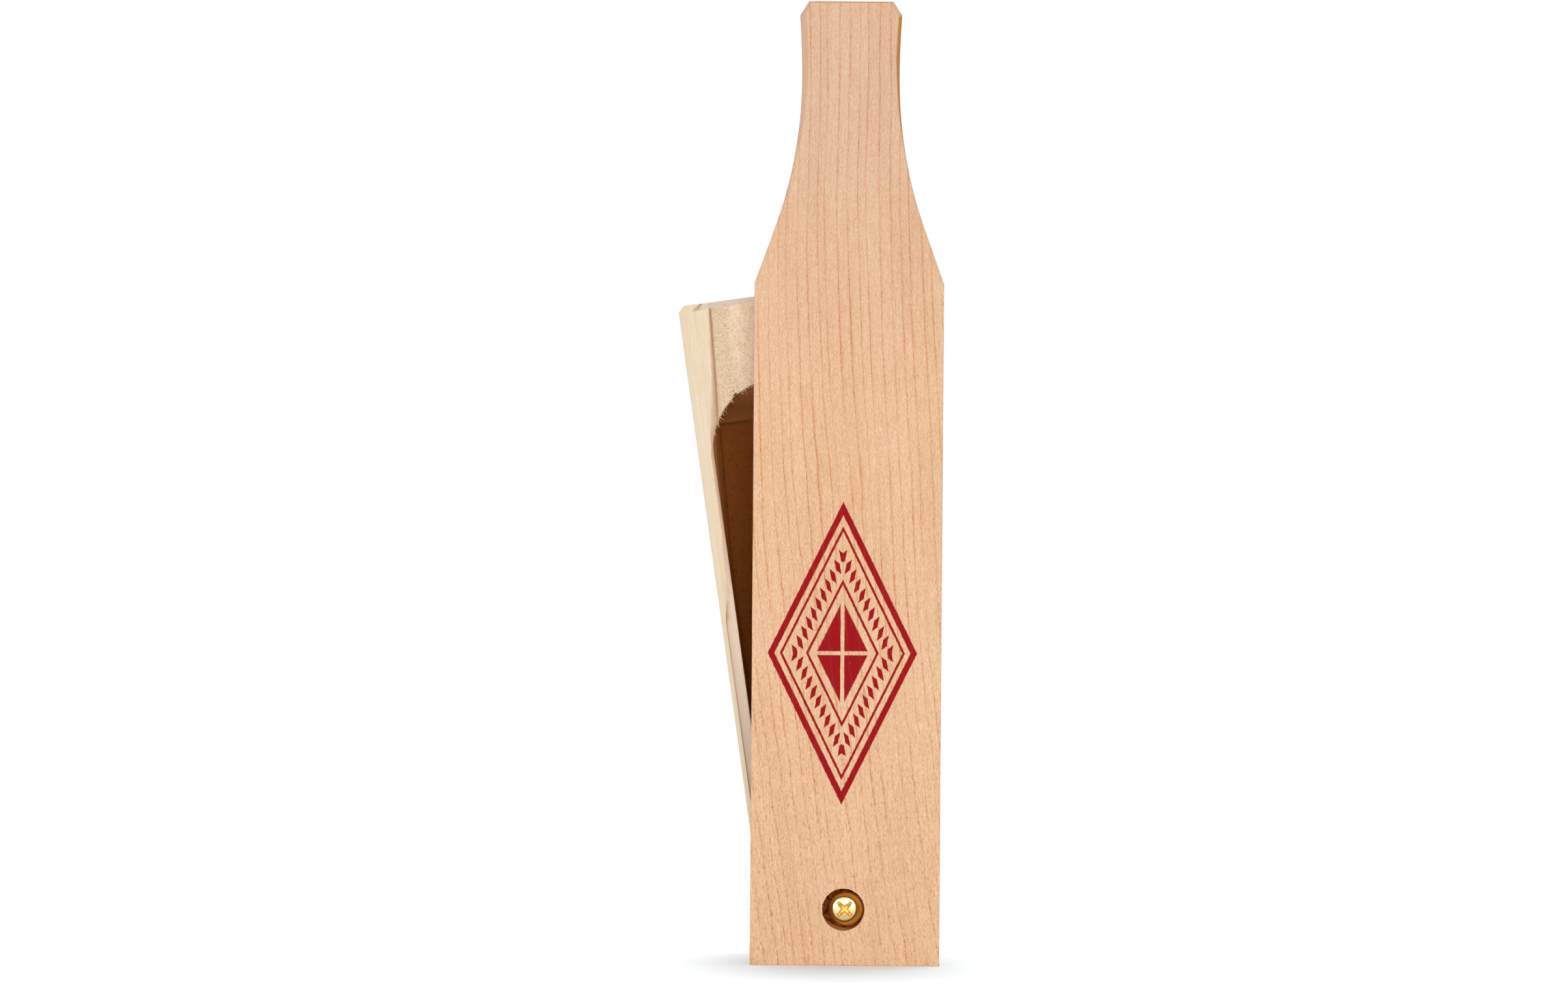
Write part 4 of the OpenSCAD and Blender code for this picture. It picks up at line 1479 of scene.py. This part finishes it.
def box_wood(s):
    """Pale poplar: planed outside, torn and milled inside the rims, scorched in the chamber, with
    painted light and shade.
    """
    paint = Paint("box wood")
    x, y, z = paint.place()
    cos, sin = math.cos(s.lean), math.sin(s.lean)
    up = z - SCREW_UP
    t = x * cos + up * sin
    along = up * cos - x * sin
    wander = paint.noise(t * 0.05, y * 0.05, along * 0.015, detail=1.0) * 4.0
    across = t * 0.8 + y * 0.6 + wander
    through = y * 0.8 - t * 0.6
    line, band = growth_rings(paint, across, along, through, 2.6, 6.0, 0.4)
    fibre = paint.noise(across * 2.6, through * 2.6, along * 0.07, detail=3.0, rough=0.6)
    fine = paint.noise(across * 8.0, through * 8.0, along * 1.1, detail=2.0, rough=0.6, seed=4.0)
    cloud = paint.noise(across * 0.12, through * 0.1, along * 0.02, detail=2.0, seed=1.0)
    warm = (cloud - 0.5) * 0.6 + (fibre - 0.5) * 0.9 + (fine - 0.5) * 0.9 + band * 0.2 + 0.35
    base = paint.mix(paint.least(paint.most(warm, 0.0), 1.0), s.pale, s.warm)
    base = paint.mix(paint.least(line * 0.22, 1.0), base, s.edge)

    # In the chamber the second mark is the depth as a share, and elsewhere it is milled wood
    chamber, milled, foot, torn = paint.marks()
    mottle = paint.noise(t * 0.5, y * 0.5, along * 0.25, detail=3.0, rough=0.6, seed=2.0)
    speck = paint.noise(t * 2.1, y * 2.0, along * 1.5, detail=3.0, rough=0.75, seed=6.0)
    fuzz = paint.noise(t * 4.6, y * 4.0, along * 3.8, detail=1.0, seed=13.0)
    rough_wood = milled_look(paint, s, t, mottle, speck, fuzz)
    base = paint.mix(milled * (1 - chamber) * 0.9, base, rough_wood)
    base = paint.mix(torn * (1 - chamber) * 0.85, base, s.torn)
    # Painted light: the milled wood and the torn slopes are lightened towards the screw, where the
    # lid shades them
    near = paint.fade(along, 108.0, 55.0) * paint.most(milled, torn) * (1 - chamber)
    base = paint.mix(near * 0.9, base, LIT_NEAR_PIVOT)
    # Painted shadow line at the foot of the step
    base = paint.mix(foot * (1 - chamber) * 0.8, base, s.edge)

    half = s.wide / 2
    # Painted light: the long bevels are lightened as if lit
    bevel = paint.fade(abs(t), half - s.long_bevel - 0.1, half - s.long_bevel + 0.3)
    bevel = bevel * paint.fade(y, 6.9, 6.5)
    base = paint.mix(bevel * 0.7, base, LIT_LONG_BEVEL)
    past = along - (s.reach - s.end_bevel) - milled * (s.step - s.end_sink)
    end_grain = paint.fade(past, 0.02, 0.14)
    within = (half - s.land) - s.land_slant * (along - s.reach + s.end_bevel) / s.end_bevel
    end_grain = end_grain * paint.fade(within - abs(t), -0.05, 0.15)
    base = paint.mix(end_grain * 0.9, base, paint.mix(speck, s.end_pale, s.end_dark))

    chatter = paint.noise(t * 2.4, y * 0.4, along * 1.1, detail=3.0, rough=0.65, seed=8.0)
    base = paint.mix(chamber, base, chamber_look(paint, s, along, milled, chatter))

    rough = 0.58 + paint.most(milled * 0.2, chamber * 0.35) + (fibre - 0.5) * 0.1
    passes = along - paint.root(paint.most((s.chamber / 2) ** 2 - t * t, 0.0))
    swirl = paint.math("SINE", passes * 3.4)
    rugged = milled * (1 - chamber) * (mottle + speck) * 1.6
    height = fibre * 0.5 + fine * 0.3 + rugged + chamber * (swirl * 0.3 + chatter)
    return paint.finish(base, rough, height, 0.00005, Specular_IOR_Level=0.08)


def torn_fibres(s):
    """Torn wood fibres, with a dark tuft on the chamber's edge."""
    paint = Paint("torn fibres")
    x, y, z = paint.place()
    tint = paint.noise(x * 1.1, y * 1.1, z * 1.1, detail=1.0)
    base = paint.mix(paint.fade(tint, 0.42, 0.62), s.warm, FIBRE_BROWN)
    tuft_x, _, tuft_z = BoxShape(s).world(*TUFT, 0.0)
    tuft = paint.fade(paint.away(x - tuft_x, z - tuft_z), 1.7, 1.0)
    strand = paint.noise(x * 3.0, y * 3.0, z * 3.0, detail=1.0, seed=2.0)
    base = paint.mix(tuft * paint.fade(strand, 0.3, 0.42), base, TUFT_DARK)
    return paint.finish(base, 0.6 + tint * 0.1, Specular_IOR_Level=0.1)


def bright_brass(s):
    """Polished yellow brass with fine turning marks and a little tarnish in its hollows."""
    paint = Paint("bright brass")
    x, y, z = paint.place()
    up = z - SCREW_UP
    reach = paint.away(x, up)
    turned = paint.noise(reach * 16.0, y * 14.0, 0.0, detail=2.0)
    cloud = paint.noise(x * 1.1, y * 1.1, up * 1.1, detail=3.0)
    deep = paint.fade(y, -2.3, -0.8) * paint.fade(reach, 1.9, 1.2)
    base = paint.mix(paint.fade(cloud, 0.35, 0.75) * 0.35, s.metal, TARNISH)
    base = paint.mix(deep * 0.7, base, HOLLOW_BRASS)
    rough = 0.16 + turned * 0.08 + cloud * 0.06 + deep * 0.3
    return paint.finish(base, rough, turned, 0.000004, Metallic=1.0)


def steel_wire(s):
    """Drawn spring wire: bright, with fine lines along it."""
    paint = Paint("spring steel")
    x, y, z = paint.place()
    drawn = paint.noise(x * 6.0, y * 22.0, z * 6.0, detail=2.0)
    base = paint.mix(paint.fade(drawn, 0.3, 0.7), s.metal, WIRE_GREY)
    return paint.finish(base, 0.25 + drawn * 0.15, drawn, 0.000004, Metallic=1.0)


class BOXCALL_OT_stage(bpy.types.Operator):
    """Make the camera, the floor, the lamps and the white surroundings"""

    bl_idname = "boxcall.stage"
    bl_label = "Make Stage"

    def execute(self, context):
        s = context.scene.boxcall_stage
        camera_data = bpy.data.cameras.new("camera")
        camera = add_object("camera", camera_data)
        context.scene.camera = camera
        camera_data.sensor_width = 36.0
        camera_data.lens = 36.0 * s.distance / s.frame_wide
        camera_data.clip_end = 20.0
        spot = Vector((s.across, LID_LOW.y - s.distance, s.height))
        camera.matrix_world = (
            Matrix.Translation(spot) @ Matrix.Rotation(math.pi / 2, 4, "X")
            @ Matrix.Rotation(s.roll, 4, "Z")
        )
        context.scene.view_settings.view_transform = "Standard"

        plane = bpy.data.meshes.new("floor")
        size = 6.0
        plane.from_pydata(
            [(-size, -size, 0), (size, -size, 0), (size, size, 0), (-size, size, 0)], [],
            [(0, 1, 2, 3)],
        )
        floor = add_object("floor", plane)
        plane.materials.append(pale_floor(tuple(s.floor)))

        for name, place, size, power in (
            ("front", (0.05, -1.9, 0.31), 0.5, 4.55),
            ("left", (-0.95, -1.6, 0.55), 0.7, 9.2),
            ("right", (0.62, -1.82, 0.45), 0.6, 7.0),
            ("top", (0.1, 0.4, 1.5), 1.0, 15.0),
        ):
            lamp_data = bpy.data.lights.new(name, "AREA")
            lamp_data.shape, lamp_data.size, lamp_data.energy = "SQUARE", size, power
            lamp = add_object(name, lamp_data)
            lamp.location = place
            aim = Vector(LAMPS_AIM) - Vector(place)
            lamp.rotation_euler = aim.to_track_quat("-Z", "Y").to_euler()

        context.scene.world = white_world()
        return {"FINISHED"}


def white_world():
    """Surroundings that look white but light the call softly."""
    world = bpy.data.worlds.new("studio")
    world.use_nodes = True
    graph = Graph(world.node_tree)
    rays = graph.outputs("ShaderNodeLightPath")
    seen = graph.most(rays["Is Camera Ray"], rays["Is Glossy Ray"])
    seen = graph.most(seen, rays["Is Transmission Ray"])
    strength = graph.node("ShaderNodeMapRange", {"Value": seen, "To Min": 0.2, "To Max": 1.0})
    sky = graph.node("ShaderNodeBackground", {"Strength": strength, "Color": (1, 1, 1, 1)})
    graph.node("ShaderNodeOutputWorld", (sky,))
    return world


def pale_floor(tone):
    """Matt floor that keeps the shadows and looks white to the camera."""
    paint = Paint("pale floor")
    x, y, _ = paint.place()
    grain = paint.noise(x * 0.8, y * 0.8, 0.0, detail=2.0)
    base = paint.mix(grain * 0.03, tone, FLOOR_GREY)
    surface = paint.node("ShaderNodeBsdfPrincipled", {"Base Color": base, "Roughness": 0.8})
    rays = paint.outputs("ShaderNodeLightPath")
    seen = paint.most(rays["Is Camera Ray"], rays["Is Glossy Ray"])
    away = paint.away(x * 1.8, y)

    def glow(strength, tone=1):
        return paint.node(
            "ShaderNodeEmission", {"Color": (tone, tone, tone, 1), "Strength": strength}
        )

    white = glow(1.0)
    shown = seen * paint.fade(away, 8.0, 104.0)
    both = paint.node("ShaderNodeMixShader", (shown, surface, white))
    lift = paint.node("ShaderNodeMixShader", (seen, glow(0.0, 0), glow(0.1)))
    paint.node("ShaderNodeOutputMaterial", (paint.node("ShaderNodeAddShader", (both, lift)),))
    return paint.material


class BOXCALL_OT_lid(bpy.types.Operator):
    """Make the paddle lid with its arched underside, handle and counterbore"""

    bl_idname = "boxcall.lid"
    bl_label = "Make Lid"

    def execute(self, context):
        s = millimetres(context.scene.boxcall_lid)
        settle(make_lid_mesh(s), "lid", "lid", lid_wood(s))
        return {"FINISHED"}


class BOXCALL_OT_sound_box(bpy.types.Operator):
    """Make the milled sound box with its rims, chamber and spring pocket"""

    bl_idname = "boxcall.sound_box"
    bl_label = "Make Sound Box"

    def execute(self, context):
        s = millimetres(context.scene.boxcall_box)
        settle(make_sound_box_mesh(s), "box", "sound_box", box_wood(s))
        fibres = make_fibres(s)
        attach(fibres, "box")
        return {"FINISHED"}


class BOXCALL_OT_screw(bpy.types.Operator):
    """Make the brass screw with its cross recess and wound thread"""

    bl_idname = "boxcall.screw"
    bl_label = "Make Screw"

    def execute(self, context):
        s = millimetres(context.scene.boxcall_screw)
        settle(make_screw_mesh(s), "screw", "lid_screw", bright_brass(s))
        return {"FINISHED"}


class BOXCALL_OT_spring(bpy.types.Operator):
    """Wind the spring that presses the lid against the head of the screw"""

    bl_idname = "boxcall.spring"
    bl_label = "Make Spring"

    def execute(self, context):
        s = millimetres(context.scene.boxcall_spring)
        made = make_spring_mesh(s)
        settle(made, "spring", "lid_spring", made.data.materials[0])
        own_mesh(made)
        return {"FINISHED"}


# Each group of settings, its name in the scene and the operator that uses it
PARTS = (
    ("boxcall_stage", StageSettings, BOXCALL_OT_stage),
    ("boxcall_box", SoundBoxSettings, BOXCALL_OT_sound_box),
    ("boxcall_lid", LidSettings, BOXCALL_OT_lid),
    ("boxcall_screw", ScrewSettings, BOXCALL_OT_screw),
    ("boxcall_spring", SpringSettings, BOXCALL_OT_spring),
)


class BOXCALL_PT_panel(bpy.types.Panel):
    """Lists the operators and sizes of the box call"""

    bl_idname = "BOXCALL_PT_panel"
    bl_label = "Box Call"
    bl_space_type = "VIEW_3D"
    bl_region_type = "UI"
    bl_category = "Box Call"

    def draw(self, context):
        for name, group, operator in PARTS:
            column = self.layout.column(align=True)
            column.operator(operator.bl_idname)
            for item in group.bl_rna.properties:
                if item.identifier not in ("rna_type", "name"):
                    column.prop(getattr(context.scene, name), item.identifier)


def register():
    for name, group, operator in PARTS:
        bpy.utils.register_class(group)
        bpy.utils.register_class(operator)
        setattr(bpy.types.Scene, name, PointerProperty(type=group))
    bpy.utils.register_class(BOXCALL_PT_panel)


def unregister():
    bpy.utils.unregister_class(BOXCALL_PT_panel)
    for name, group, operator in reversed(PARTS):
        delattr(bpy.types.Scene, name)
        bpy.utils.unregister_class(operator)
        bpy.utils.unregister_class(group)


def main():
    register()
    bpy.ops.boxcall.stage()
    bpy.ops.boxcall.sound_box()
    bpy.ops.boxcall.lid()
    bpy.ops.boxcall.screw()
    bpy.ops.boxcall.spring()


if __name__ == "__main__":
    main()
